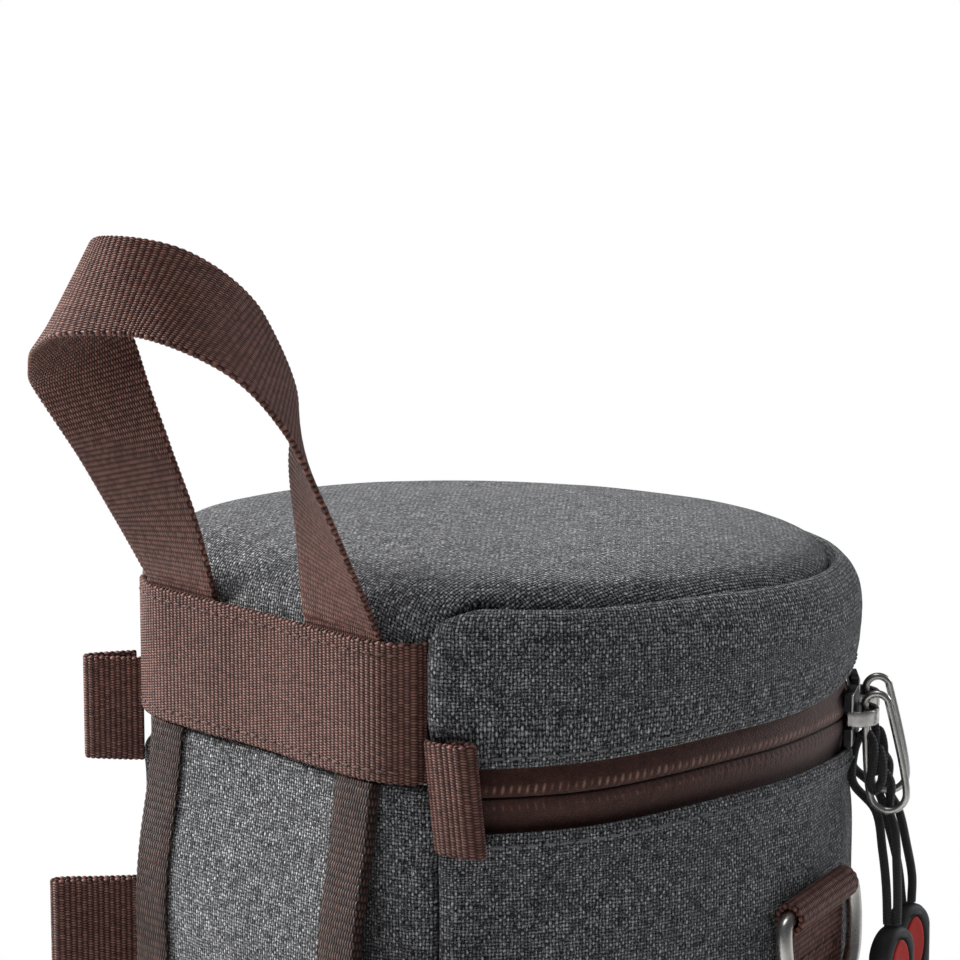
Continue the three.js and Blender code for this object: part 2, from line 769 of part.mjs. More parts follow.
function addHandle() {
  const footMiddle = bodyRadius + seat + handleThickness / 2 + 0.2;
  const footTop = bandTop + 0.1 + 2 * seat;
  const centres = new THREE.CatmullRomCurve3(handleStations.map(([x, back, up]) => new THREE.Vector3(
    x * handleFootOffset,
    footMiddle + back * handleReach,
    footTop + up * handleHeight,
  )), false, 'centripetal');
  const edges = new THREE.CatmullRomCurve3(handleStations.map(([, , , turn, dip]) => {
    const [turned, dipped] = [degToRad(turn), degToRad(dip)];
    return new THREE.Vector3(
      Math.cos(turned) * Math.cos(dipped),
      Math.sin(turned) * Math.cos(dipped),
      -Math.sin(dipped),
    );
  }), false, 'centripetal');
  const steps = 48;
  const rings = [];
  for (let i = 0; i <= steps; i += 1) {
    const centre = centres.getPoint(i / steps);
    const along = centres.getTangent(i / steps);
    if (i === 0 || i === steps) {
      along.set(0, 0, i === 0 ? 1 : -1);
    }
    const edge = edges.getPoint(i / steps);
    const outwards = edge.addScaledVector(along, -edge.dot(along));
    outwards.normalize().multiplyScalar(handleWidth / 2);
    const thick = new THREE.Vector3().crossVectors(along, outwards).setLength(handleThickness / 2);
    rings.push([[1, 1], [-1, 1], [-1, -1], [1, -1]].map(([u, v]) => (
      centre.clone().addScaledVector(outwards, u).addScaledVector(thick, v))));
  }
  addPiece('handle', loft(rings), 'webbing');
}

// Belt flap on the back: a canvas strip with bound edges, sewn top and bottom
function flapLine() {
  const held = bodyRadius + seat + bindingCloth + seat + flapCloth / 2;
  const bowing = [
    [0, 0], [0.065, 0.061], [0.38, 0.202], [0.783, 0.348], [1, 0.524],
    [0.837, 0.693], [0.402, 0.838], [0.065, 0.927], [0, 1],
  ];
  return smoothLine(bowing.map(([bow, drop]) => [
    held + bow * flapBow,
    flapTop + (flapBottom - flapTop) * drop,
  ]), 22);
}

/** Sweep a section, given as [across, off the cloth], down the line of the flap. */
function alongFlap(section) {
  const line = flapLine();
  return loft(line.map((point, i) => {
    const before = line[Math.max(i - 1, 0)];
    const after = line[Math.min(i + 1, line.length - 1)];
    const along = new THREE.Vector2().subVectors(after, before).normalize();
    return section.map(([x, off]) => new THREE.Vector3(x, point.x - along.y * off, point.y + along.x * off));
  }));
}

function addBeltFlap() {
  const half = flapCloth / 2;
  const clothEdge = flapHalfWidth - bindingCloth - seat;
  addPiece('belt_flap', alongFlap([
    [-clothEdge, -half], [clothEdge, -half], [clothEdge, half], [-clothEdge, half],
  ]), 'canvas');
  const slot = half + seat;
  const skin = slot + bindingCloth;
  const inner = flapHalfWidth - bindingWidth;
  const edge = flapHalfWidth - bindingCloth;
  for (const [name, side] of [['left', -1], ['right', 1]]) {
    const section = [
      [inner, -skin], [flapHalfWidth, -skin], [flapHalfWidth, skin], [inner, skin],
      [inner, slot], [edge, slot], [edge, -slot], [inner, -slot],
    ].map(([x, off]) => [side * x, off]);
    addPiece(`flap_binding_${name}`, alongFlap(section), 'binding');
  }
}

/** Mirror plan points to one side. */
const toSide = (pairs, side) => pairs.map(([x, y]) => [side * x, y]);

// Folded webbing tabs at the ends of the zip and lower down in the rear seams
function addTabs() {
  const root = planPoint(seamAngle, 0);
  const zipLine = [
    [0.074, 0], [0.484, 0.368], [0.811, 0.621], [0.958, 0.632], [1, 0.495], [0.8, 0.032], [0.611, -0.463],
  ].map(([x, y]) => [root.x + x * zipTabReach, root.y + y * zipTabReach]);
  const out = new THREE.Vector2(0.6, 0.8);
  const side = new THREE.Vector2(0.8, -0.6);
  const tabPoint = (reach, offset) => [
    root.x + out.x * reach + side.x * offset,
    root.y + out.y * reach + side.y * offset,
  ];
  const layer = webbing / 2 + 0.2;
  const rearLine = [
    tabPoint(0, -layer),
    tabPoint(rearTabReach / 2, -layer),
    tabPoint(rearTabReach - 1.6, -layer - 0.1),
    tabPoint(rearTabReach - 0.6, 0),
    tabPoint(rearTabReach - 1.6, layer + 0.1),
    tabPoint(rearTabReach / 2, layer),
    tabPoint(0, layer),
  ];
  for (const [name, mirror] of [['left', -1], ['right', 1]]) {
    const zipTabLine = smoothLine(toSide(zipLine, mirror), 16);
    const zipTab = new THREE.ExtrudeGeometry(stripShape(zipTabLine, webbing), {
      depth: tabWidth, bevelEnabled: false,
    });
    zipTab.translate(0, 0, zipHeight - tabWidth / 2);
    addPiece(`zip_end_tab_${name}`, zipTab, 'webbing');
    const rearTabLine = smoothLine(toSide(rearLine, mirror), 18);
    const rearTab = new THREE.ExtrudeGeometry(stripShape(rearTabLine, webbing), {
      depth: rearTabWidth, bevelEnabled: false,
    });
    rearTab.translate(0, 0, rearTabTop - rearTabWidth);
    addPiece(`rear_tab_${name}`, rearTab, 'webbing');
  }
}

// Carrying rings: a webbing loop sewn on each side, round the bar of a D-shaped ring
const ringTabInner = bodyRadius - sideSlack + seat;
const ringBarReach = ringTabInner + webbing + seat + ringWire / 2;

function ringTabLine() {
  const wrap = ringWire / 2 + seat + webbing / 2;
  const back = ringTabInner + webbing / 2;
  const front = back + webbing + seat;
  const points = [
    [back, ringTabBottom],
    [back, (ringTabBottom + ringBarHeight) / 2],
    [back, ringBarHeight - ringWire],
  ];
  for (let angle = 180; angle >= -60; angle -= 30) {
    points.push([
      ringBarReach + wrap * Math.cos(degToRad(angle)),
      ringBarHeight + wrap * Math.sin(degToRad(angle)),
    ]);
  }
  points.push([front + 0.2, ringBarHeight - 4], [front, ringBarHeight - 7], [front, ringTabBottom]);
  return points.map(([reach, up]) => new THREE.Vector2(reach, up));
}

function ringPath() {
  const half = tabWidth / 2 + seat + ringWire / 2;
  const corner = 2;
  const points = [[0, 0], [half - corner, 0], [half - 0.6, -0.6], [half, -corner]];
  for (let angle = 0; angle >= -180; angle -= 30) {
    points.push([half * Math.cos(degToRad(angle)), -ringLeg + half * Math.sin(degToRad(angle))]);
  }
  points.push([-half, -corner], [-half + 0.6, -0.6], [-half + corner, 0]);
  const tilt = degToRad(ringTilt);
  return new THREE.CatmullRomCurve3(points.map(([across, up]) => new THREE.Vector3(
    ringBarReach - up * Math.sin(tilt),
    across,
    ringBarHeight + up * Math.cos(tilt),
  )), true, 'centripetal');
}

function addCarryingRings() {
  for (const [name, angle] of [['left', ringAngle], ['right', 180 - ringAngle]]) {
    const holder = radialGroup(angle);
    const loop = acrossTangent(stripShape(ringTabLine(), webbing), tabWidth);
    addPiece(`ring_tab_${name}`, loop, 'webbing', holder);
    const ring = weld(new THREE.TubeGeometry(ringPath(), 32, ringWire / 2, 8, true));
    addPiece(`carrying_ring_${name}`, ring, 'nickel', holder);
  }
}

addBase();
addBody();
addLid();
addZip();
addSlider('a', sliderAAngle);
addSlider('b', sliderBAngle);
addBand();
addHandle();
addBeltFlap();
addTabs();
addCarryingRings();

export default group;
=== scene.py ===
import functools
import logging
import math
from dataclasses import dataclass
from enum import Enum
from functools import partialmethod
from typing import Callable, Sequence

import bmesh
import bpy
import numpy as np
from mathutils import Matrix, Vector, noise


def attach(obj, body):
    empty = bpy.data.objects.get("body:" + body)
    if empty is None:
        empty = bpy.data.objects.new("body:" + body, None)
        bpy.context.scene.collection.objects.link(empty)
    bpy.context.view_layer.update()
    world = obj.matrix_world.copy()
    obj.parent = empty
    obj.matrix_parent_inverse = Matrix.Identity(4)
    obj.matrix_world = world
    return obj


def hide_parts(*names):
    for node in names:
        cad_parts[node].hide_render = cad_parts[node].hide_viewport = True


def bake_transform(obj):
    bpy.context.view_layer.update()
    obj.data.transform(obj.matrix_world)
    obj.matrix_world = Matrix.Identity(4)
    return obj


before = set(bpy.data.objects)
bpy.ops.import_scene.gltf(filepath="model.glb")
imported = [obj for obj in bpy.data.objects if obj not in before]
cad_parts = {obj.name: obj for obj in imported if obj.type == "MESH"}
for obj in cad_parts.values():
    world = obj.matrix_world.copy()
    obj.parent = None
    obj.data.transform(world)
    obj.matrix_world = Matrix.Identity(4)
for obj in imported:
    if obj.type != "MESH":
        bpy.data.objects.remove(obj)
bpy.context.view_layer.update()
MM = 0.001
UP = (0.0, 0.0, 1.0)
Array = np.ndarray
Colour = tuple[float, float, float]
Height = float | Callable[[Array], Array]
Material = bpy.types.Material
Mesh = bmesh.types.BMesh
Palette = dict[str, Material]
Piece = bpy.types.Object
log = logging.getLogger("lens_bag")


class Body(Enum):
    """Bodies of the frame that pieces ride on."""

    BAG = "bag"
    LID = "lid"
    HANDLE = "handle"
    SLIDER_A = "slider_a"
    SLIDER_B = "slider_b"
    PULL_A = "pull_a"
    PULL_B = "pull_b"
    RING_LEFT = "ring_left"
    RING_RIGHT = "ring_right"


class Side(Enum):
    """Sides of the bag, by the sign of X."""

    LEFT = -1
    RIGHT = 1

    @property
    def word(self) -> str:
        """Word of the side as node names spell it."""
        return self.name.lower()


@dataclass(frozen=True)
class Bend:
    """Range of heights in millimetres where a sewn piece turns from one body to the next; none of its fields are
    read, and the piece stays fixed where it is built.
    """

    below: Body
    above: Body
    start: float
    end: float


# Lines, charts and meshes


def smoothstep(value: Array | float) -> Array | float:
    """Ease a number from 0 to 1."""
    held = np.clip(value, 0.0, 1.0)
    return held * held * (3.0 - 2.0 * held)


def spline(knots: Sequence[Sequence[float]], steps: int, closed: bool = False) -> Array:
    """Run a centripetal curve through knots.

    Args:
        knots: points that the curve passes through.
        steps: samples for each stretch between two knots.
        closed: whether the curve returns to its first knot.

    Returns:
        The sampled curve, one row for each point.
    """
    p = np.asarray(knots, float)
    padded = np.vstack([p[-1], p, p[0], p[1]] if closed else [2 * p[0] - p[1], p, 2 * p[-1] - p[-2]])
    t = np.linspace(0.0, 1.0, steps, endpoint=False)[:, None]
    found = []
    for i in range(len(padded) - 3):
        p0, p1, p2, p3 = padded[i : i + 4]
        d0, d1, d2 = (max(np.linalg.norm(b - a) ** 0.5, 1e-4) for a, b in ((p0, p1), (p1, p2), (p2, p3)))
        m1 = ((p1 - p0) / d0 - (p2 - p0) / (d0 + d1) + (p2 - p1) / d1) * d1
        m2 = ((p2 - p1) / d1 - (p3 - p1) / (d1 + d2) + (p3 - p2) / d2) * d1
        cubic = 2 * p1 - 2 * p2 + m1 + m2
        square = -3 * p1 + 3 * p2 - 2 * m1 - m2
        found.append(((cubic * t + square) * t + m1) * t + p1)
    return np.vstack(found if closed else [*found, p[-1:]])


def lengths(line: Array) -> Array:
    """Distance along a line at each of its points."""
    return np.concatenate([[0.0], np.cumsum(np.linalg.norm(np.diff(line, axis=0), axis=1))])


def run_down(points: Array) -> Array:
    """Distance down each column of a grid."""
    return np.stack([lengths(points[:, j]) for j in range(points.shape[1])], axis=1)


def resample(rows: Array, at: Array, run: Array | None = None) -> Array:
    """Read a line, or rows that belong to it, at distances along it.

    Args:
        rows: points of the line, or one row for each of them.
        at: distances along the line.
        run: distance of each row, where the rows aren't the line itself.

    Returns:
        One row for each distance.
    """
    run = lengths(rows) if run is None else run
    return np.stack([np.interp(at, run, column) for column in rows.T], axis=1)


def unit(rows: Array) -> Array:
    """Scale each row to length 1."""
    return rows / np.maximum(np.linalg.norm(rows, axis=-1, keepdims=True), 1e-9)


def at_height(flat: Array, z: Array | float) -> Array:
    """Places from X and Y in the last axis and a height."""
    return np.concatenate([flat, np.broadcast_to(z, flat.shape[:-1])[..., None]], axis=-1)


def crowded(count: int) -> Array:
    """Numbers from -1 to 1 that stand closer together near both ends."""
    even = np.linspace(-1.0, 1.0, count)
    return np.sign(even) * (1.0 - (1.0 - np.abs(even)) ** 1.4)


def rumple(x: Array, y: Array | float, z: float, size: float) -> Array:
    """Smooth unevenness from -1 to 1 with humps of about this size in millimetres."""
    x, y = np.broadcast_arrays(x, y)
    spots = zip(x.ravel() / size, y.ravel() / size)
    return np.array([noise.noise(Vector((a, b, z / size))) for a, b in spots]).reshape(x.shape)


def lay_cloth(
    points: Array,
    across: Array | float,
    down: Array | float,
    joined: bool = False,
    capped: bool = False,
    middle: Sequence[float] | None = None,
) -> Mesh:
    """Cut a flat grid of cloth and lay it on its form.

    Args:
        points: places of the grid, rows by columns by 3, in millimetres.
        across: place of each grid point across the flat cloth, in millimetres.
        down: place of each grid point down it.
        joined: whether edges of the grid that coincide are sewn together.
        capped: whether open ends are filled.
        middle: point in millimetres that an open shell faces away from.

    Returns:
        The laid mesh, in metres.
    """
    rows, columns = points.shape[:2]
    chart = np.stack([np.broadcast_to(c, (rows, columns)) for c in (across, down)], axis=-1)
    bm = bmesh.new()
    layer = bm.loops.layers.uv.new("cloth")
    bmesh.ops.create_grid(bm, x_segments=columns - 1, y_segments=rows - 1, size=0.5)
    bm.verts.index_update()
    spots = [(round((v.co.y + 0.5) * (rows - 1)), round((v.co.x + 0.5) * (columns - 1))) for v in bm.verts]
    for face in bm.faces:
        for loop in face.loops:
            loop[layer].uv = chart[spots[loop.vert.index]]
    for vert in bm.verts:
        vert.co = points[spots[vert.index]] * MM
    if joined:
        bmesh.ops.remove_doubles(bm, verts=bm.verts, dist=2e-7)
    if capped:
        bmesh.ops.holes_fill(bm, edges=[e for e in bm.edges if e.is_boundary], sides=0)
    bm.normal_update()
    if middle is None:
        bmesh.ops.recalc_face_normals(bm, faces=bm.faces)
    elif sum(f.normal.dot(f.calc_center_median() - Vector(middle) * MM) for f in bm.faces) < 0:
        bmesh.ops.reverse_faces(bm, faces=bm.faces)
    return bm


def add_piece(
    name: str, bm: Mesh, finishes: Material | tuple, rides: Body | Bend, slot: str, *nodes: str, wall: float = 0.0
) -> Piece:
    """Turn a built mesh into a finished piece that moves with its body; a piece on a bend is not attached and stays
    where it is built.

    Args:
        name: name of the piece.
        bm: the mesh, which is freed.
        finishes: its material, or its materials in order.
        rides: the body that carries it, or a bend between two bodies, which leaves it unattached.
        slot: material slot of the record; not used.
        nodes: nodes of the frame that it replaces.
        wall: thickness in millimetres that is added behind an open shell.

    Returns:
        The new object, at the origin.
    """
    mesh = bpy.data.meshes.new(name)
    bm.to_mesh(mesh)
    bm.free()
    mesh.shade_smooth()
    for finish in finishes if isinstance(finishes, tuple) else (finishes,):
        mesh.materials.append(finish)
    piece = bpy.data.objects.new(name, mesh)
    bpy.context.scene.collection.objects.link(piece)
    if wall:
        thick = piece.modifiers.new("wall", "SOLIDIFY")
        thick.thickness = wall * MM
        thick.offset = -1.0
    if isinstance(rides, Bend):
        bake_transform(piece)
    else:
        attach(piece, rides.value)
    if nodes:
        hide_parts(*nodes)
    log.info("%s moves with %s", name, rides)
    return piece


# Finishes


class Value:
    """Number in a node tree, with the usual signs for the nodes that calculate."""

    def __init__(self, shader: "Shader", socket: bpy.types.NodeSocket) -> None:
        """Hold a socket of a shader's tree."""
        self.shader, self.socket = shader, socket

    def calculate(self, operation: str, *others: object) -> "Value":
        """Result of one calculation that starts with this value."""
        return self.shader.math(operation, self, *others)

    def __rsub__(self, other: float) -> "Value":
        """What is left of a number without this value."""
        return self.shader.math("SUBTRACT", other, self)

    __add__ = __radd__ = partialmethod(calculate, "ADD")
    __mul__ = __rmul__ = partialmethod(calculate, "MULTIPLY")
    __sub__ = partialmethod(calculate, "SUBTRACT")
    __truediv__ = partialmethod(calculate, "DIVIDE")
    __pow__ = partialmethod(calculate, "POWER")
    __mod__ = partialmethod(calculate, "FLOORED_MODULO")
    __abs__ = partialmethod(calculate, "ABSOLUTE")
    floor = partialmethod(calculate, "FLOOR")
    fract = partialmethod(calculate, "FRACT")


class Shader:
    """Node tree of one finish, with short calls for the nodes that the finishes share."""

    def __init__(self, name: str) -> None:
        """Start an empty tree with a surface.

        Args:
            name: name of the material.
        """
        self.material = bpy.data.materials.new(name)
        self.material.use_nodes = True
        self.tree = self.material.node_tree
        self.tree.nodes.clear()
        self.surface = self.add("ShaderNodeBsdfPrincipled")
        self.out = self.add("ShaderNodeOutputMaterial").inputs["Surface"]
        self.put(self.out, self.surface.outputs["BSDF"])

    def add(self, kind: str, **settings: object) -> bpy.types.Node:
        """Add a node with some of its settings."""
        node = self.tree.nodes.new(kind)
        for key, value in settings.items():
            setattr(node, key, value)
        return node

    def put(self, socket: bpy.types.NodeSocket, value: object) -> None:
        """Link a socket to another one, or set its constant."""
        value = getattr(value, "socket", value)
        if isinstance(value, bpy.types.NodeSocket):
            self.tree.links.new(value, socket)
        else:
            socket.default_value = value

    def fed(self, kind: str, values: Sequence[object], **settings: object) -> Value:
        """First output of a new node whose first inputs take these values."""
        node = self.add(kind, **settings)
        for socket, value in zip(node.inputs, values):
            self.put(socket, value)
        return Value(self, node.outputs[0])

    def math(self, operation: str, *values: object, clamp: bool = False) -> Value:
        """Result of one calculation on values and numbers."""
        return self.fed("ShaderNodeMath", values, operation=operation, use_clamp=clamp)

    def between(self, share: Value, low: object, high: object) -> Value:
        """Number at a share of the way from low to high."""
        return share * (high - low) + low

    def chart(self) -> tuple[Value, Value]:
        """Place on the flat cloth in millimetres, across and along."""
        split = self.add("ShaderNodeSeparateXYZ")
        self.put(split.inputs[0], self.add("ShaderNodeUVMap", uv_map="cloth").outputs[0])
        return Value(self, split.outputs[0]), Value(self, split.outputs[1])

    def spot(self, where: object) -> object:
        """Vector from up to three numbers; a socket stays as it is."""
        return self.fed("ShaderNodeCombineXYZ", where) if isinstance(where, tuple) else where

    def cloudy(self, where: object, scale: float, detail: float = 1.0) -> Value:
        """Smooth noise from 0 to 1."""
        node = self.add("ShaderNodeTexNoise", noise_dimensions="3D")
        for key, value in {"Vector": self.spot(where), "Scale": scale, "Detail": detail}.items():
            self.put(node.inputs[key], value)
        return Value(self, node.outputs[0])

    def chance(self, *where: object) -> Value:
        """Random number from 0 to 1 for each pair of whole numbers."""
        return self.fed("ShaderNodeTexWhiteNoise", [self.spot(where)], noise_dimensions="2D")

    def objectwise(self) -> bpy.types.NodeSocket:
        """Place in the piece's own space, in metres."""
        return self.add("ShaderNodeTexCoord").outputs["Object"]

    def ramp(self, share: object, *stops: tuple[float, Colour]) -> Value:
        """Colour from a run of stops."""
        node = self.add("ShaderNodeValToRGB")
        band = node.color_ramp
        while len(band.elements) < len(stops):
            band.elements.new(0.5)
        for element, (place, colour) in zip(band.elements, stops):
            element.position = place
            element.color = (*colour, 1.0)
        self.put(node.inputs[0], share)
        return Value(self, node.outputs[0])

    def relief(self, height: Value, depth: float) -> Value:
        """Normal of a surface raised by a height, where 1 stands for this many millimetres."""
        node = self.add("ShaderNodeBump")
        for key, value in {"Strength": 1.0, "Distance": depth * MM, "Height": height}.items():
            self.put(node.inputs[key], value)
        return Value(self, node.outputs[0])

    def thread(self, run: Value) -> tuple[Value, Value]:
        """Number of the yarn at a place counted in yarns, and its round profile from 0 to 1."""
        return run.floor(), (run.fract() * math.pi).calculate("SINE")

    def oval(self, across: Value, along: Value, wide: float, long: float) -> Value:
        """Dome that is 1 in its middle and 0 at its rim, by the place across and along it."""
        one, two = across / wide, along / long
        return 1.0 - (one * one + two * two)

    def upper(self, one: Value, two: Value, power: float) -> Value:
        """Height where the higher of two domes shows, flattened by a power."""
        return self.math("MAXIMUM", self.math("MAXIMUM", one, two), 0.0) ** power

    def finish(
        self,
        colour: object,
        roughness: object,
        normal: object = None,
        sheen: float = 0.0,
        sheen_roughness: float = 0.5,
        specular: float = 0.5,
        metallic: float = 0.0,
    ) -> Material:
        """Connect the surface and hand over the material."""
        settings = {"Base Color": colour, "Roughness": roughness, "Sheen Weight": sheen, "Metallic": metallic,
                    "Sheen Roughness": sheen_roughness, "Specular IOR Level": specular}
        if normal is not None:
            settings["Normal"] = normal
        for key, value in settings.items():
            self.put(self.surface.inputs[key], value)
        return self.material


@dataclass(frozen=True)
class CanvasFinish:
    """Heathered plain-weave canvas: uneven yarns, painted shade in the gaps between them, slubs and pale flecks."""

    name: str = "heather_canvas"
    pitch: float = 0.63
    gap: Colour = (0.006, 0.006, 0.007)
    deep: Colour = (0.030, 0.031, 0.034)
    middle: Colour = (0.135, 0.137, 0.146)
    pale: Colour = (0.34, 0.345, 0.36)
    fleck: Colour = (0.74, 0.74, 0.75)
    depth: float = 0.26

    def yarn(self, s: Shader, across: Value, along: Value, seed: float) -> tuple[Value, Value, Value]:
        """Yarns that wander and change their tone.

        Args:
            s: the shader.
            across: place across the yarns in millimetres.
            along: place along them.
            seed: number that keeps the two sets apart.

        Returns:
            Number of the yarn, the place across it from -0.5 to 0.5, and its tone along its length.
        """
        wander = s.cloudy((across, along, seed), 0.13)
        shake = s.cloudy((across * 1.3, along * 0.6, seed), 1.0)
        place = across * (1 / self.pitch) + (shake * 0.8 + wander * 1.3)
        number = place.floor()
        slub = s.cloudy((number * 3.17, along * 0.45, seed), 1.0, 2.0)
        fibre = s.cloudy((across * 5.0, along * 1.6, seed), 1.0, 2.0)
        tone = (fibre - 0.5) * 1.7 + ((slub - 0.5) * 1.15 + 0.36)
        return number, place.fract() - 0.5, s.math("MAXIMUM", tone, 0.1)

    def make(self) -> Material:
        """Build the material."""
        s = Shader(self.name)
        u, v = s.chart()
        warp, warp_place, warp_tone = self.yarn(s, u, v, 3.0)
        weft, weft_place, weft_tone = self.yarn(s, v, u, 8.0)
        over = (warp + weft) % 2.0
        across, along = s.between(over, weft_place, warp_place), s.between(over, warp_place, weft_place)
        own, other = s.oval(across, along, 0.5, 0.78), s.oval(1.0 - abs(across), along, 0.78, 0.5)
        shown = abs(over - s.math("GREATER_THAN", other, own))
        height = s.upper(own, other, 0.85)
        patch = s.between(s.cloudy((u, v), 0.04, 2.0), 0.84, 1.16)
        lit = s.between(shown, weft_tone, warp_tone) * patch * s.between(shown, 0.84, 1.16)
        # Colour follows the weave's height: painted shade in the gaps between yarns and a painted highlight on their
        # tops.
        lit = lit * s.between(height, 0.02, 1.35)
        colour = s.ramp(
            lit, (0.04, self.gap), (0.15, self.deep), (0.34, self.middle), (0.58, self.pale), (0.95, self.fleck)
        )
        return s.finish(colour, 0.9, s.relief(height, self.depth), sheen=0.2, sheen_roughness=0.45, specular=0.12)


@dataclass(frozen=True)
class WebbingFinish:
    """Ribbed webbing: beads of warp yarn, shifted by half a yarn from rib to rib, with painted shade between the
    beads and a painted highlight on their tops.
    """

    name: str
    rib: float = 1.05
    yarn: float = 0.52
    deep: Colour = (0.006, 0.0028, 0.0022)
    base: Colour = (0.102, 0.039, 0.031)
    bright: Colour = (0.34, 0.16, 0.125)
    depth: float = 0.3

    def make(self) -> Material:
        """Build the material."""
        s = Shader(self.name)
        u, v = s.chart()
        row = v / self.rib
        rib = row.floor()
        place = u * (1 / self.yarn) + (rib % 2.0) * 0.5
        yarn = place.floor()
        across, along = abs(place.fract() - 0.5), abs(row.fract() - 0.5)
        bead = s.upper(s.oval(across, along, 0.54, 0.66), s.oval(0.5 - across, 1.0 - along, 0.54, 0.66), 0.8)
        lit = bead * s.between(s.chance(rib, yarn), 0.72, 1.1)
        mottle_and_highlight = s.between(s.cloudy((u, v), 0.05, 2.0), 0.88, 1.1)
        # Colour runs with the bead's height: deep is painted shade between the beads, bright is a painted highlight
        # on their tops.
        colour = s.ramp(lit * mottle_and_highlight, (0.12, self.deep), (0.5, self.base), (1.0, self.bright))
        roughness = s.between(s.chance(yarn, rib), 0.42, 0.58)
        return s.finish(
            colour, roughness, s.relief(bead, self.depth), sheen=0.05, sheen_roughness=0.4, specular=0.22
        )


@dataclass(frozen=True)
class TapeFinish:
    """Coated zip tape: a dull skin over fine twill, with painted highlights in pale ticks on the ribs of the coil."""

    name: str
    coil: float = 1.5
    rub: float = 1.0
    skin: Colour = (0.098, 0.036, 0.026)
    dark: Colour = (0.046, 0.017, 0.013)
    mottle_and_highlight: Colour = (0.36, 0.20, 0.155)

    def make(self) -> Material:
        """Build the material."""
        s = Shader(self.name)
        u, v = s.chart()
        twill = s.thread(v * 1.6 + u * 1.1)[1]
        number, coil_top = s.thread(v * -0.12 + u / self.coil)
        ridge = s.math("SUBTRACT", 1.0, abs((v - 1.55) * 0.95), clamp=True)
        # Pale ticks on the coil's crests are painted highlights; the cloud and grain below give the tape's own uneven
        # tone.
        crest = coil_top**6.0 * ridge * s.between(s.chance(number, 4.0), 0.3, 1.0)
        cloud, grain = s.cloudy((u, v), 0.5, 4.0), s.cloudy((u, v, 2.0), 3.2, 2.0)
        share = crest * self.rub + (cloud + grain) * 0.4
        colour = s.ramp(share, (0.26, self.dark), (0.48, self.skin), (1.0, self.mottle_and_highlight))
        roughness = s.between(s.cloudy((v, u), 0.8, 2.0), 0.5, 0.68)
        return s.finish(colour, roughness, s.relief(grain * 4.0 + twill * 0.4, 0.07), sheen=0.25, specular=0.22)


@dataclass(frozen=True)
class PlainFinish:
    """Even material with a grain: foam, board, rubber, thread."""

    name: str
    colour: Colour
    shade: Colour
    roughness: float
    grain: float
    depth: float = 0.05

    def make(self) -> Material:
        """Build the material."""
        s = Shader(self.name)
        where = s.objectwise()
        fine, broad = s.cloudy(where, self.grain, 2.0), s.cloudy(where, self.grain * 0.05, 3.0)
        colour = s.ramp(fine * 0.5 + broad * 0.5, (0.3, self.shade), (0.7, self.colour))
        roughness = s.between(broad, self.roughness - 0.07, self.roughness + 0.07)
        return s.finish(colour, roughness, s.relief(fine, self.depth))


@dataclass(frozen=True)
class LiningFinish:
    """Smooth woven lining cloth."""

    name: str = "lining_cloth"
    pitch: float = 0.34
    base: Colour = (0.055, 0.056, 0.062)
    shade: Colour = (0.022, 0.022, 0.026)

    def make(self) -> Material:
        """Build the material."""
        s = Shader(self.name)
        u, v = s.chart()
        (warp, warp_top), (weft, weft_top) = s.thread(u / self.pitch), s.thread(v / self.pitch)
        height = s.between((warp + weft) % 2.0, weft_top, warp_top)
        tone = height * s.between(s.chance(warp, weft), 0.8, 1.1)
        colour = s.ramp(tone, (0.1, self.shade), (0.95, self.base))
        roughness = s.between(s.cloudy((u, v), 0.1, 2.0), 0.5, 0.66)
        return s.finish(colour, roughness, s.relief(height, 0.05), sheen=0.2)


@dataclass(frozen=True)
class MetalFinish:
    """Satin or blackened metal with fine scratches and rubbed patches."""

    name: str
    colour: Colour
    shade: Colour
    roughness: float = 0.26
    metallic: float = 1.0

    def make(self) -> Material:
        """Build the material."""
        s = Shader(self.name)
        where = s.objectwise()
        patch, scratch = s.cloudy(where, 260.0, 3.0), s.cloudy(where, 3800.0, 1.0)
        colour = s.ramp(patch, (0.35, self.shade), (0.6, self.colour))
        roughness = scratch * 0.12 + s.between(patch, self.roughness, self.roughness - 0.06)
        return s.finish(colour, roughness, s.relief(scratch, 0.004), metallic=self.metallic)


@dataclass(frozen=True)
class CordFinish:
    """Braided round cord."""

    name: str = "braided_cord"
    braid: float = 0.62
    colour: Colour = (0.035, 0.035, 0.037)
    shade: Colour = (0.004, 0.004, 0.004)

    def make(self) -> Material:
        """Build the material."""
        s = Shader(self.name)
        u, v = s.chart()
        (one, one_top), (two, two_top) = s.thread((u + v) / self.braid), s.thread((u - v) / self.braid)
        height = s.between((one + two) % 2.0, one_top, two_top)
        tone = height * s.between(s.chance(one, two), 0.7, 1.0)
        colour = s.ramp(tone, (0.1, self.shade), (0.9, self.colour))
        return s.finish(colour, 0.72, s.relief(height, 0.12), sheen=0.25)


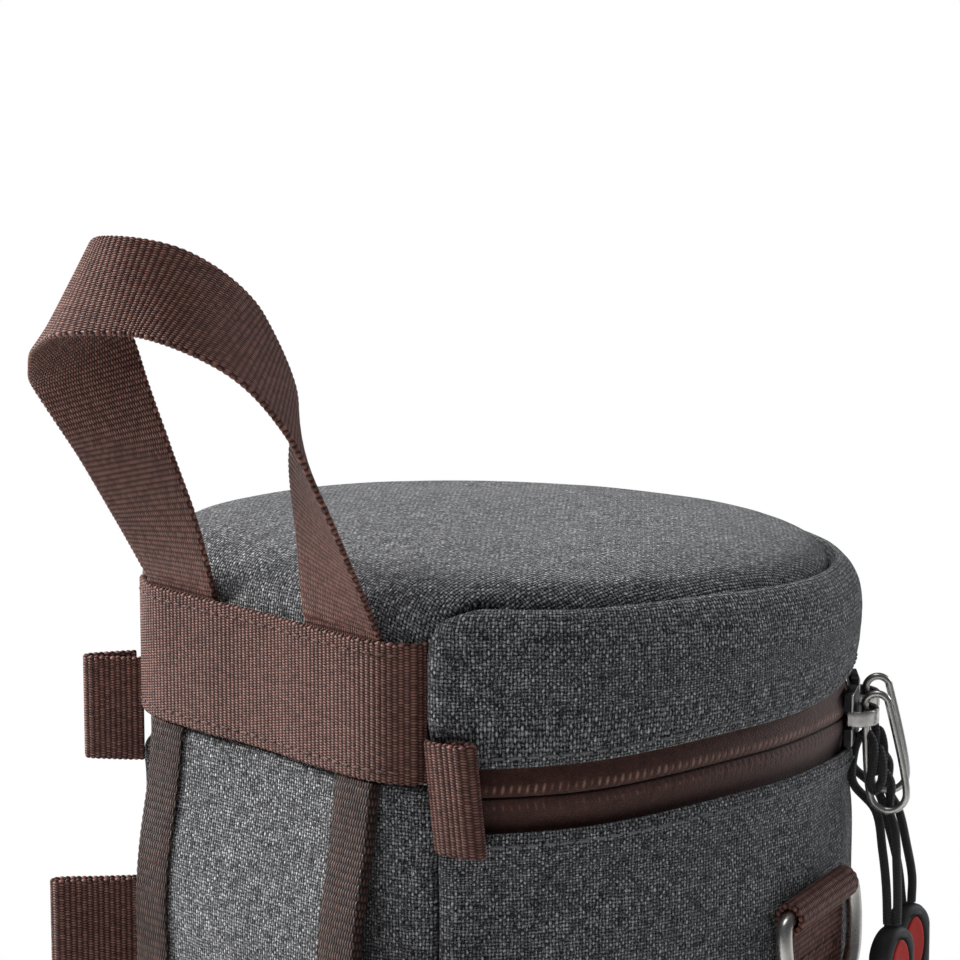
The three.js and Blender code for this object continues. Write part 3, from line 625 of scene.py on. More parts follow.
FINISHES = {
    "canvas": CanvasFinish(),
    "webbing": WebbingFinish("brown_webbing"),
    "binding": WebbingFinish(
        "edge_binding", 1.4, 0.62, (0.004, 0.002, 0.0018), (0.017, 0.0075, 0.0064), (0.14, 0.075, 0.06)
    ),
    "upper_tape": TapeFinish("upper_zip_coating"),
    # The lower tape carries weaker painted highlight ticks (0.3).
    "lower_tape": TapeFinish("lower_zip_coating", 1.5, 0.3, (0.092, 0.036, 0.027), (0.050, 0.019, 0.015)),
    "lining": LiningFinish(),
    "foam": PlainFinish("foam", (0.16, 0.16, 0.165), (0.09, 0.09, 0.095), 0.95, 1800.0, 0.12),
    "board": PlainFinish("fibre_board", (0.030, 0.030, 0.032), (0.016, 0.016, 0.017), 0.7, 1200.0),
    "nickel": MetalFinish("satin_nickel", (0.66, 0.65, 0.62), (0.50, 0.49, 0.47)),
    "black_metal": MetalFinish("blackened_slider", (0.045, 0.045, 0.048), (0.018, 0.018, 0.020), 0.36, 0.8),
    "cord": CordFinish(),
    "rubber": PlainFinish("soft_rubber", (0.022, 0.022, 0.023), (0.010, 0.010, 0.011), 0.6, 2500.0, 0.02),
    "red": PlainFinish("red_rubber", (0.66, 0.016, 0.008), (0.45, 0.010, 0.005), 0.7, 2500.0, 0.02),
    "grey_thread": PlainFinish("grey_thread", (0.26, 0.26, 0.27), (0.12, 0.12, 0.125), 0.7, 3500.0, 0.1),
    "brown_thread": PlainFinish("brown_thread", (0.15, 0.072, 0.06), (0.06, 0.028, 0.024), 0.6, 3500.0, 0.1),
}


# The bag's plan


@dataclass(frozen=True)
class Plan:
    """D-shaped plan: half circle in front, quarter ellipses at the rear corners, flat back."""

    radius: float = 64.0
    flat_half: float = 25.0
    deepest: float = 10.0
    side_slack: float = 1.2
    slack_run: float = 30.0
    seam_station: float = 155.8
    zip_height: float = 185.0
    zip_dip: float = 0.3
    slider_sag: float = 1.8
    slider_station: float = -50.0
    slider_spread: float = 17.0
    back_inset: float = 1.9
    lower_hem: float = 179.1
    upper_hem: float = 190.55
    lid_seam_height: float = 212.3
    lid_seam_slope: float = 0.053
    crown_rise: float = 7.1
    crown_fall: float = 2.7
    crown_middle: float = 60.0

    @property
    def back_middle(self) -> float:
        """Station of the middle of the back."""
        return 180.0 + self.flat_half

    def point(self, station: Array | float, inset: Array | float) -> Array:
        """Places on the plan.

        Args:
            station: degrees from the middle of the front to 180, then millimetres along the back.
            inset: millimetres inside the outline; past 10 the outline shrinks to the middle.

        Returns:
            X and Y in the last axis, in millimetres.
        """
        station, inset = np.broadcast_arrays(np.asarray(station, float), np.asarray(inset, float))
        reach = np.abs(station)
        r = self.radius - np.minimum(inset, self.deepest)
        front = np.radians(np.minimum(reach, 90.0))
        rear = np.radians(np.clip(reach - 90.0, 0.0, 90.0))
        flat, zones = self.flat_half, [reach <= 90, reach <= 180]
        x = np.select(zones, [r * np.sin(front), flat + (r - flat) * np.cos(rear)], flat - (reach - 180.0))
        y = np.select(zones, [-r * np.cos(front), r * np.sin(rear)], r)
        shrink = np.where(inset > self.deepest, (self.radius - inset) / (self.radius - self.deepest), 1.0)
        return np.stack([np.where(station < 0, -1.0, 1.0) * x * shrink, y * shrink], axis=-1)

    @functools.cached_property
    def table(self) -> tuple[Array, Array]:
        """Stations and the distance along the outline at each."""
        stations = np.linspace(0.0, self.back_middle, 1200)
        return stations, lengths(self.point(stations, 0.0))

    def arc(self, station: Array | float) -> Array:
        """Distance along the outline from the middle of the front."""
        return np.sign(station) * np.interp(np.abs(station), *self.table)

    def station(self, arc: Array | float) -> Array:
        """Station at a distance along the outline."""
        return np.sign(arc) * np.interp(np.abs(arc), self.table[1], self.table[0])

    def slack(self, station: Array) -> Array:
        """Inset of the side cloth, which hangs a little inside the lid."""
        return self.side_slack * np.clip((self.seam_station - np.abs(station)) / self.slack_run, 0.0, 1.0)

    def dip(self, station: Array) -> Array:
        """Drop of the zip towards its ends."""
        reach = np.abs(station)
        sag = 0.5 * smoothstep((reach - 60.0) / 35.0) + 1.7 * smoothstep((reach - 92.0) / 38.0)
        return -sag - self.zip_dip * smoothstep((reach - 122.0) / 30.0)

    def drag(self, station: Array) -> Array:
        """Drop of the slit where the sliders pull it down."""
        return -self.slider_sag * np.exp(-(((station - self.slider_station) / self.slider_spread) ** 2))

    def seam_height(self, y: Array) -> Array:
        """Height of the lid's top seam."""
        return self.lid_seam_height + self.lid_seam_slope * y

    def crown(self, inset: Array | float) -> Array:
        """Rise of the padded lid above its seam."""
        outward = self.crown_middle - np.minimum(inset, self.crown_middle)
        return self.crown_rise - self.crown_fall * (outward / (self.crown_middle - self.deepest)) ** 5.6

    def around(self, step: float) -> Array:
        """Stations all the way round, evenly spaced, from back middle to back middle."""
        whole = float(self.arc(self.back_middle))
        return self.station(np.linspace(-whole, whole, round(2 * whole / step) + 1))

    def across_back(self, start: float, count: int) -> tuple[Array, Array, Array]:
        """Run across the back, from a station on the right to its mirror image.

        Args:
            start: the first station.
            count: number of places.

        Returns:
            Distance along the outline, station and distance from the nearer end, at each place.
        """
        first, whole = float(self.arc(start)), float(self.arc(self.back_middle))
        along = np.linspace(first, 2 * whole - first, count)
        stations = self.station(np.where(along <= whole, along, along - 2 * whole))
        return along, stations, np.minimum(along - first, 2 * whole - first - along)


PLAN = Plan()
SEAM_SINK = 2.4
SEAM_ROUND = 3.6


def seam_sink(distance: Array, depth: float = SEAM_SINK, reach: float = SEAM_ROUND) -> Array:
    """Depth of a padded panel's rounded edge, by the distance from its seam."""
    away = 1.0 - np.clip(distance / reach, 0.0, 1.0)
    return depth * (1.0 - np.sqrt(np.maximum(1.0 - away**2, 0.0)))


def dish(rows: Sequence[tuple[float, Height]], step: float) -> tuple[Array, Array, Array]:
    """Rings all the way round the plan, for linings and pads.

    Args:
        rows: inset of each ring and its height, fixed or by Y.
        step: spacing of the columns in millimetres.

    Returns:
        Points and their places across and down the flat cloth, for lay_cloth.
    """
    stations = PLAN.around(step)
    rings = []
    for inset, height in rows:
        flat = PLAN.point(stations, inset)
        rings.append(at_height(flat, height(flat[:, 1]) if callable(height) else height))
    points = np.array(rings)
    return points, PLAN.arc(stations), run_down(points)


def under_crown(below: float, *insets: float) -> list[tuple[float, Height]]:
    """Rings at the same distance under the lid's top face."""
    return [(inset, lambda y, drop=float(PLAN.crown(inset)) - below: PLAN.seam_height(y) + drop) for inset in insets]


# Straps, tubes and stitches


@dataclass
class Strap:
    """Ribbed webbing laid along a line, with scalloped selvages."""

    width: float = 20.0
    thickness: float = 1.2
    rib: float = 1.05
    rib_depth: float = 0.1
    scallop: float = 0.2
    steps: int = 4
    columns: int = 12

    def lay(self, line: Array, across: Sequence[float] | Array) -> Mesh:
        """Weave the strap along its centre line.

        Args:
            line: centre line in millimetres.
            across: direction of the strap's width, everywhere or at each point of the line.

        Returns:
            The closed mesh.
        """
        run = lengths(line)
        ribs = max(round(run[-1] / self.rib), 2)
        at = np.linspace(0.0, run[-1], ribs * self.steps + 1)
        centre = resample(line, at)
        width_way = resample(np.broadcast_to(across, line.shape), at, run)
        along = unit(np.gradient(centre, axis=0))
        width_way = unit(width_way - along * np.sum(width_way * along, axis=1, keepdims=True))
        out = np.cross(along, width_way)
        ridge = np.sin(np.pi * ((np.arange(len(at)) / self.steps) % 1.0))[:, None]
        half = self.width / 2 - self.scallop * (1.0 - ridge)
        thick = self.thickness / 2 - self.rib_depth * (1.0 - ridge)
        flat, level = np.linspace(-1.0, 1.0, self.columns), np.ones(self.columns)
        turns = np.radians([60.0, 30.0, 0.0, -30.0, -60.0])
        reach = np.concatenate([flat, np.ones(5), flat[::-1], -np.ones(5), [-1.0]])
        side_way = np.concatenate([0 * level, np.cos(turns), 0 * level, -np.cos(turns), [0.0]])
        rise = np.concatenate([level, np.sin(turns), -level, -np.sin(turns), [1.0]])
        x = reach * (half - thick) + side_way * thick
        points = centre[:, None] + width_way[:, None] * x[:, :, None] + out[:, None] * (rise * thick)[:, :, None]
        place = reach * self.width / 2 + side_way * 0.3 + self.width
        return lay_cloth(points, place, (at / run[-1] * ribs * self.rib)[:, None], joined=True, capped=True)


def tube(line: Array, radius: float, sides: int, closed: bool, flat_way: Sequence[float]) -> Mesh:
    """Round wire or cord along a line.

    Args:
        line: centre line in millimetres; a closed one repeats its first point at its end.
        radius: radius in millimetres.
        sides: faces round it.
        closed: whether the line is a ring.
        flat_way: a direction that is never along the line.

    Returns:
        The closed mesh.
    """
    ahead = np.roll(line[:-1], -1, axis=0) - np.roll(line[:-1], 1, axis=0)
    along = unit(np.vstack([ahead, ahead[:1]]) if closed else np.gradient(line, axis=0))
    one = unit(np.cross(along, np.asarray(flat_way, float)))
    two = np.cross(along, one)
    turn = np.linspace(0.0, 2 * np.pi, sides + 1)
    ring = one[:, None] * np.cos(turn)[None, :, None] + two[:, None] * np.sin(turn)[None, :, None]
    points = line[:, None] + ring * radius
    points[:, -1] = points[:, 0]
    return lay_cloth(points, turn * radius, lengths(line)[:, None], joined=True, capped=not closed)


@dataclass(frozen=True)
class Stitch:
    """Size of the stitches in a row, in millimetres."""

    pitch: float = 2.6
    length: float = 2.0
    gauge: float = 0.4

    def sew(self, bm: Mesh, line: Array, outward: Array) -> None:
        """Sew a row of stitches.

        Args:
            bm: mesh that the stitches are added to.
            line: line of the seam in millimetres.
            outward: direction away from the cloth, everywhere or at each point of the line.
        """
        run = lengths(line)
        at = np.arange(self.pitch / 2, run[-1] - self.pitch / 2, self.pitch)
        ends = resample(line, at + self.length / 2) - resample(line, at - self.length / 2)
        up = resample(np.broadcast_to(outward, line.shape), at, run)
        for centre, end, raised in zip(resample(line, at), ends, up):
            along = Vector(end).normalized()
            rise = Vector(raised)
            rise = (rise - along * rise.dot(along)).normalized()
            aside = rise.cross(along)
            axes = Matrix((along * self.length / 2, aside * self.gauge / 2, rise * self.gauge / 2))
            shape = axes.transposed().to_4x4() * MM
            shape.translation = Vector(centre) * MM
            shape[3][3] = 1.0
            bmesh.ops.create_icosphere(bm, subdivisions=2, radius=1.0, matrix=shape)


def spin(points: Array, degrees: float) -> Array:
    """Turn points about the vertical axis."""
    turn = math.radians(degrees)
    x, y, z = np.moveaxis(np.asarray(points, float), -1, 0)
    return np.stack([x * math.cos(turn) - y * math.sin(turn), x * math.sin(turn) + y * math.cos(turn), z], axis=-1)


def radial(angle: float, points: Array) -> Array:
    """Turn points given as outward reach, tangent and height to their place round the bag."""
    return spin(points, 180.0 + angle)


def bevel(bm: Mesh, edges: set, size: float, segments: int) -> list:
    """Round edges by a size in millimetres and return the new faces."""
    return bmesh.ops.bevel(bm, geom=list(edges), offset=size * MM, offset_type="OFFSET", segments=segments,
                           profile=0.5, affect="EDGES", material=-1)["faces"]


def arc_knots(x: float, y: float, radius: float, degrees: Sequence[float], lean: float = 0.0) -> list[list[float]]:
    """Knots on an arc at these angles, turned by a lean in radians."""
    turns = [math.radians(angle) + lean for angle in degrees]
    return [[x + radius * math.cos(turn), y + radius * math.sin(turn)] for turn in turns]


# Sub-assemblies


@dataclass
class BodyShell:
    """Canvas of the body: side, back and base."""

    top: float = 184.4
    cloth: float = 1.5
    bulge: float = 0.7
    waist: float = 0.8
    waist_height: float = 170.5
    edge_sink: float = 2.8
    edge_round: float = 4.2
    edge_swell: float = 0.9
    pucker: float = 0.55
    softness: float = 0.8
    back_inset: float = 1.4
    back_bulge: float = 0.35
    back_softness: float = 0.5

    def side_cloth(self, palette: Palette) -> None:
        """Padded side panel from rear seam to rear seam, with a rolled hem under the zip."""
        end, hem = float(PLAN.arc(PLAN.seam_station - 0.1)), PLAN.lower_hem
        arcs = crowded(262) * end
        stations = PLAN.station(arcs)
        section = spline(
            [[2.0, 1.5], [0.9, 0.5], [0.1, 1.6], [0.0, 5], [0, 30], [0, 60], [0, 90], [0, 120], [0, 150],
             [0.0, 166], [0.0, 173], [0.05, hem - 1.7], [0.3, hem - 0.5], [0.9, hem], [1.5, hem - 0.3],
             [1.9, hem - 1.4]], 7)
        inset, z = section[:, :1], section[:, 1:]
        near_hem = smoothstep((z - 165.0) / 12.0)
        from_end = end - np.abs(arcs)
        sink = seam_sink(from_end, self.edge_sink, self.edge_round) * (1 - 0.3 * near_hem)
        edge = self.edge_swell * smoothstep(1.0 - (from_end - 3.0) / 12.0)
        belly = self.bulge * np.sin(np.pi * np.clip(z / hem, 0.0, 1.0)) ** 0.7
        swell = edge * smoothstep((165.0 - z) / 20.0) + belly
        pucker = rumple(arcs, z * 0.25, 3.0, 8.0) * self.pucker
        pucker = pucker * smoothstep((z - 140.0) / 22.0) * smoothstep((hem - 2.0 - z) / 5.0)
        soft = rumple(arcs, z, 11.0, 34.0) * self.softness * (1.0 - near_hem)
        waist = self.waist * np.exp(-(((z - self.waist_height) / 5.0) ** 2))
        waist = waist * (1 - smoothstep((np.abs(stations) - 70.0) / 50.0))
        hang = PLAN.slack(stations) * (1 - 0.6 * smoothstep((z - 170.0) / 9.0)) + waist
        flat = PLAN.point(stations, hang + inset + sink - swell + pucker + soft)
        points = at_height(flat, z + (PLAN.dip(stations) + PLAN.drag(stations)) * near_hem)
        bm = lay_cloth(points, arcs, lengths(section)[:, None], middle=(0, 0, 90))
        add_piece("side_cloth", bm, palette["canvas"], Body.BAG, "canvas", "side_panel", wall=self.cloth)

    def back_cloth(self, palette: Palette) -> None:
        """Flat back panel between the two rear seams."""
        along, stations, from_seam = PLAN.across_back(PLAN.seam_station + 0.1, 90)
        section = spline([[2.0, 1.5], [0.9, 0.5], [0.1, 1.6], [0, 5], [0, 40], [0, 80], [0, 120], [0, 160],
                          [0, 180], [0.2, self.top - 0.6], [1.2, self.top]], 9)
        inset, z = section[:, :1], section[:, 1:]
        soft = rumple(along, z, 27.0, 30.0) * self.back_softness * smoothstep((self.top - z) / 20.0)
        swell = self.back_bulge * np.sin(np.pi * np.minimum(z / self.top, 1.0))
        flat = PLAN.point(stations, self.back_inset + inset + seam_sink(from_seam) - swell + np.abs(soft) * 0.6)
        bm = lay_cloth(at_height(flat, z), along, lengths(section)[:, None], middle=(0, 0, 90))
        add_piece("back_cloth", bm, palette["canvas"], Body.BAG, "canvas", "back_panel", wall=self.cloth)

    def base_cloth(self, palette: Palette) -> None:
        """Base panel with a turned edge."""
        under = [(inset, 0.0) for inset in (64.0, 40.0, 20.0, 6.0)]
        edge = [(3.0, 0.02), (1.9, 0.25), (1.3, 0.75), (1.5, 1.25)]
        over = [(inset, self.cloth) for inset in (2.4, 8.0, 30.0, 64.0)]
        points, _, _ = dish([*under, *edge, *over], 2.0)
        bm = lay_cloth(points, points[:, :, 0], points[:, :, 1], joined=True)
        add_piece("base_cloth", bm, palette["canvas"], Body.BAG, "canvas", "base_panel")

    def build(self, palette: Palette) -> None:
        """Build and dress the three panels and the stiffener."""
        self.side_cloth(palette)
        self.back_cloth(palette)
        self.base_cloth(palette)
        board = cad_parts["base_board"]
        board.data.materials.clear()
        board.data.materials.append(palette["board"])


@dataclass
class LidShell:
    """Canvas of the lid: the top, which folds over the back edge, and the gusset round the front."""

    fold_bottom: float = 184.8
    corner: float = 14.0
    overlap: float = 1.7
    puff: float = 1.6
    side_run: float = 28.5
    edge_sink: float = 3.4
    edge_round: float = 4.6
    edge_swell: float = 1.7
    softness: float = 0.55
    seam_pull: float = 0.22
    dent: float = 1.7
    dent_size: float = 22.0

    @property
    def seam_arc(self) -> float:
        """Distance along the outline to the rear seam."""
        return float(PLAN.arc(PLAN.seam_station))

    def end_arc(self, climb: Array, whole: float) -> Array:
        """Reach of the gusset at a distance up its section, with a rounded upper corner.

        Args:
            climb: distance from the hem.
            whole: distance from the hem to the top seam.

        Returns:
            Distance along the outline to the gusset's end.
        """
        over = np.clip(climb - (whole - self.corner), 0.0, self.corner)
        return self.seam_arc - (self.corner - np.sqrt(self.corner**2 - over**2))

    def gusset_section(self, top: float) -> Array:
        """Inset and height of the gusset from its hem to its turned-in seam edge."""
        hem = PLAN.upper_hem
        return spline(
            [[2.8, hem + 1.6], [2.2, hem + 0.3], [1.5, hem - 0.05], [1.0, hem + 0.5], [0.8, hem + 1.6],
             [0.35, hem + 4.5], [0.05, hem + 9], [0.0, top - 8.5], [0.12, top - 5], [0.8, top - 2.3],
             [2.4, top - 0.35], [4.1, top + 0.15], [5.3, top - 0.35], [5.85, top - 1.5], [5.95, top - 3.2]], 5)

    def gusset(self, palette: Palette) -> None:
        """Padded rim between the top seam and the zip."""
        shares, steep_rows = crowded(281), 30
        lowest, highest = 208.0, 218.0
        low, high = self.gusset_section(lowest), self.gusset_section(highest)
        climb = lengths(self.gusset_section(215.0))[:, None]
        whole = climb[-4, 0]
        reach = self.end_arc(climb, whole) + self.overlap * (shares < 0)
        arcs = shares * reach
        stations = PLAN.station(arcs)
        grow = (PLAN.seam_height(PLAN.point(stations, 3.0)[..., 1]) - lowest) / (highest - lowest)
        inset, z = (low[:, k, None] + (high - low)[:, k, None] * grow for k in (0, 1))
        facing_up = smoothstep((inset.mean(axis=1, keepdims=True) - 0.5) / 4.0)
        facing_up[: steep_rows + 1] = 0.0
        near_hem = smoothstep((PLAN.upper_hem + 7 - z.mean(axis=1, keepdims=True)) / 6.0)
        away = smoothstep((climb[-1] - climb) / 8.0) * (1 - near_hem)
        soft = rumple(arcs, z, 5.0, 17.0) * self.softness * away
        pull = rumple(arcs, 0.0, 8.0, 7.0) * self.seam_pull * (1 - near_hem)
        from_end = reach - np.abs(arcs)
        sink = seam_sink(from_end, self.edge_sink, self.edge_round)
        swell = self.edge_swell * smoothstep(1.0 - (from_end - 3.0) / 13.0) * (shares < 0)
        swell = swell * (1 - near_hem) * (1 - facing_up)
        flat = PLAN.point(stations, inset + sink * (1 - facing_up) + soft + pull - swell)
        z = z - sink * facing_up + (PLAN.dip(stations) - 0.5 * PLAN.drag(stations)) * near_hem
        shoulder = self.puff * np.exp(-(((climb - whole + 3.0) / 4.0) ** 2))
        z = z + shoulder * (1.0 - 0.75 * smoothstep((np.abs(stations) - 95.0) / 35.0))
        bm = lay_cloth(at_height(flat, z), arcs, climb, middle=(0, 0, 185))
        add_piece("gusset_cloth", bm, palette["canvas"], Body.LID, "canvas", "lid_gusset", wall=1.2)

    def crown(self, stations: Array) -> Array:
        """Rings of the crowned face, a little uneven, with a dent on its right."""
        insets = np.concatenate([[64.0, 62.0], np.arange(58.0, 10.0, -2.0)])[:, None]
        flat = PLAN.point(stations, insets)
        x, y = flat[..., 0], flat[..., 1]
        soft = rumple(x, y, 2.0, 26.0) * self.softness + rumple(x, y, 7.0, 11.0) * 0.2
        soft -= self.dent * np.exp(-(((x - 36.0) ** 2 + (y + 30.0) ** 2) / self.dent_size**2))
        return at_height(flat, PLAN.seam_height(y) + PLAN.crown(insets) + soft * smoothstep((insets - 8.0) / 12.0))

    def edge(self, station: float, y_seam: float) -> Array:
        """Places down the panel's edge at a station: tucked into the seam, or folded down at the back."""
        back, top = PLAN.back_inset, PLAN.seam_height(y_seam)
        folded = spline([[10, top + 4.4], [8.6, top + 3.85], [6.4, top + 2.7], [back + 2.4, top + 0.8],
                         [back + 0.8, top - 1.9], [back + 0.12, top - 5.2], [back, top - 9], [back, 196],
                         [back, self.fold_bottom]], 6)
        inset, z, run = folded[:, 0], folded[:, 1], lengths(folded)
        climb = np.where(z > top - 5, self.side_run - run + 4.0, np.maximum(z - PLAN.upper_hem, 0.0))
        arc = np.abs(PLAN.arc(station))
        outside = arc - self.end_arc(climb, self.side_run)
        sink = np.where(outside <= 0, SEAM_SINK, seam_sink(outside)) * smoothstep((10.0 - inset) / 2.5)
        up = smoothstep(1.0 - np.maximum(run - 10.6, 0.0) / 3.0) * smoothstep((inset - back - 1.5) / 3.0)
        folded = folded + np.stack([sink * (1 - up), -sink * up], axis=1)
        tucked = spline([[10, 4.4], [8.6, 3.75], [7.4, 2.75], [6.55, 1.4], [6.15, -0.3], [6.1, -1.7],
                         [6.2, -3.2], [6.3, -4.6], [6.4, -6]], 6) + [0.0, top]
        share = smoothstep((arc - (self.seam_arc - 15.0)) / 8.0)
        inset, z = (tucked * (1 - share) + folded * share).T
        flat = PLAN.point(station, inset)
        return at_height(flat, z + (flat[:, 1] - y_seam) * PLAN.lid_seam_slope * (inset > 3))

    def top(self, palette: Palette) -> None:
        """Crowned top panel, tucked in at the seam and folded down behind the band at the back."""
        stations = PLAN.around(1.6)
        edges = [self.edge(station, y) for station, y in zip(stations, PLAN.point(stations, 3.0)[:, 1])]
        points = np.concatenate([self.crown(stations), np.stack(edges, axis=1)])
        seen_from_above = points[:, :, :2]
        outwards = unit(seen_from_above - seen_from_above[:1] + 1e-9)
        at_back = smoothstep((points[:, :, 1:2] - 50.0) / 6.0)
        outwards = outwards * (1 - at_back) + np.array([0.0, 1.0]) * at_back
        chart = seen_from_above + outwards * (run_down(points) - run_down(seen_from_above))[:, :, None]
        points[0] = points[0].mean(axis=0)
        bm = lay_cloth(points, chart[..., 0], chart[..., 1], joined=True, middle=(0, 0, 185))
        add_piece("lid_cloth", bm, palette["canvas"], Body.LID, "canvas", "lid_top", wall=0.8)

    def build(self, palette: Palette) -> None:
        """Build and dress both panels."""
        self.gusset(palette)
        self.top(palette)


@dataclass
class Padding:
    """Foam in the base, the walls and the lid."""

    spacing: float = 4.0

    def pad(self, name: str, rows: list, foam: Material, body: Body, node: str) -> None:
        """Build one pad from rings that close on themselves or meet in the middle."""
        bm = lay_cloth(*dish(rows, self.spacing), joined=True)
        add_piece(name, bm, foam, body, "padding", node)

    def build(self, palette: Palette) -> None:
        """Build the four pads."""
        floor = [(64.0, 4.1), (30.0, 4.1), (9.4, 4.1), (8.7, 4.8), (8.65, 7.0), (8.8, 9.2), (9.6, 9.85), (30.0, 9.9),
                 (64.0, 9.9)]
        wall = [(3.2, 2.2), (3.2, 90.0), (3.2, 172.9), (4.2, 174.0), (5.5, 172.8), (8.2, 171.2), (8.3, 90.0),
                (8.3, 2.0), (5.5, 1.8), (3.2, 2.2)]
        lid = [*under_crown(2.2, 64.0, 40.0, 20.0, 10.0), *under_crown(2.9, 8.0), *under_crown(4.5, 7.2),
               *under_crown(6.4, 8.0), *under_crown(7.0, 12.0, 40.0, 64.0)]
        rim = [(2.4, 197.0), (2.4, 204.0), (3.4, 206.2), (4.8, 205.0), (4.95, 199.0), (4.7, 194.6), (4.0, 196.2),
               (2.4, 197.0)]
        for name, rows, body, node, fill in (
            ("floor_pad", floor, Body.BAG, "base_padding", 0.8),
            ("wall_pad", wall, Body.BAG, "body_padding", 0.7),
            ("lid_pad", lid, Body.LID, "lid_padding", 0.7),
            ("gusset_pad", rim, Body.LID, "gusset_padding", 0.6),
        ):
            self.pad(name, rows, palette["foam"], body, node)


@dataclass
class Linings:
    """Smooth cloth inside the body and the lid, and the strip inside the fold."""

    cloth: float = 0.6
    spacing: float = 2.4

    def build(self, palette: Palette) -> None:
        """Build the cup, the dome and the strip."""
        lining = palette["lining"]
        cup = [(64.0, 10.3), (45.0, 10.3), (25.0, 10.3), (13.0, 10.4), (10.4, 10.8), (9.4, 12.4), (9.15, 16.0)]
        cup += [(9.1 + 0.12 * math.sin(z * 0.13), float(z)) for z in range(24, 168, 8)]
        cup += [(9.0, 171.0), (8.2, 172.4), (6.6, 174.6), (5.0, 176.4), (4.2, 177.2)]
        bm = lay_cloth(*dish(cup, self.spacing), joined=True, middle=(0, 0, 400))
        add_piece("body_liner", bm, lining, Body.BAG, "lining", "body_lining", wall=self.cloth)
        dome = [*under_crown(7.5, 64.0, 50.0, 36.0, 22.0), *under_crown(7.6, 14.0), *under_crown(8.2, 9.5),
                (7.0, lambda y: PLAN.seam_height(y) - 9.3), (5.9, lambda y: PLAN.seam_height(y) - 12.0),
                (5.6, 197.0), (5.3, 193.6), (4.7, 191.9), (4.2, 191.8)]
        bm = lay_cloth(*dish(dome, self.spacing), joined=True, middle=(0, 0, 0))
        bmesh.ops.reverse_faces(bm, faces=bm.faces)
        add_piece("lid_liner", bm, lining, Body.LID, "lining", "lid_lining", wall=self.cloth)
        along, stations, _ = PLAN.across_back(160.0, 60)
        heights = np.linspace(178.3, 191.0, 14)[:, None]
        flat = PLAN.point(stations, np.full_like(heights, PLAN.back_inset + 1.1))
        bm = lay_cloth(at_height(flat, heights), along, heights, middle=(0, 0, 185))
        fold = Bend(Body.BAG, Body.LID, 180.5, 188.5)
        add_piece("hinge_cloth", bm, lining, fold, "lining", "lid_hinge_strip", wall=self.cloth)


@dataclass
class ZipTapes:
    """Two coated tapes, ribbed over the coil, with a narrow slit between them."""

    coil: float = 1.5
    rib_depth: float = 0.13
    end_station: float = 153.9
    steps: int = 6

    def tape(self, direction: float) -> Mesh:
        """Build one tape, above the slit for a direction of 1 and below it for -1."""
        end = float(PLAN.arc(self.end_station))
        ribs = round(2 * end / self.coil)
        arcs = np.linspace(-end, end, ribs * self.steps + 1)
        stations = PLAN.station(arcs)
        section = spline([[0.12, 3.3], [0.14, 2.6], [0.3, 2.2], [0.7, 2.0], [1.4, 1.86], [2.2, 1.95],
                          [3.0, 2.2], [4.0, 2.55], [5.0, 2.85], [7.5, 3.05], [10.4, 3.1]], 3)
        reach, inset = section[:, :1], section[:, 1:]
        hollow = self.rib_depth * (1 - np.abs(np.sin(np.pi * arcs / (2 * end) * ribs)))
        over_coil = smoothstep((reach - 0.2) / 0.4) * smoothstep((3.2 - reach) / 1.4)
        flat = PLAN.point(stations, inset + hollow * over_coil + rumple(arcs, reach, 4.0, 9.0) * 0.12)
        follow = 1.0 if direction < 0 else np.maximum(1.0 - reach / 9.0, 0.0)
        z = PLAN.zip_height + direction * reach + PLAN.dip(stations) + PLAN.drag(stations) * follow
        return lay_cloth(at_height(flat, z), (arcs + end) / (2 * end) * ribs * self.coil, reach, middle=(0, 0, 185))

    def build(self, palette: Palette) -> None:
        """Build both tapes."""
        for word, direction, body in (("lower", -1.0, Body.BAG), ("upper", 1.0, Body.LID)):
            name, nodes = f"{word}_tape", (f"{word}_zip_tape", f"{word}_zip_chain")
            add_piece(name, self.tape(direction), palette[name], body, "zip_tape", *nodes, wall=0.6)


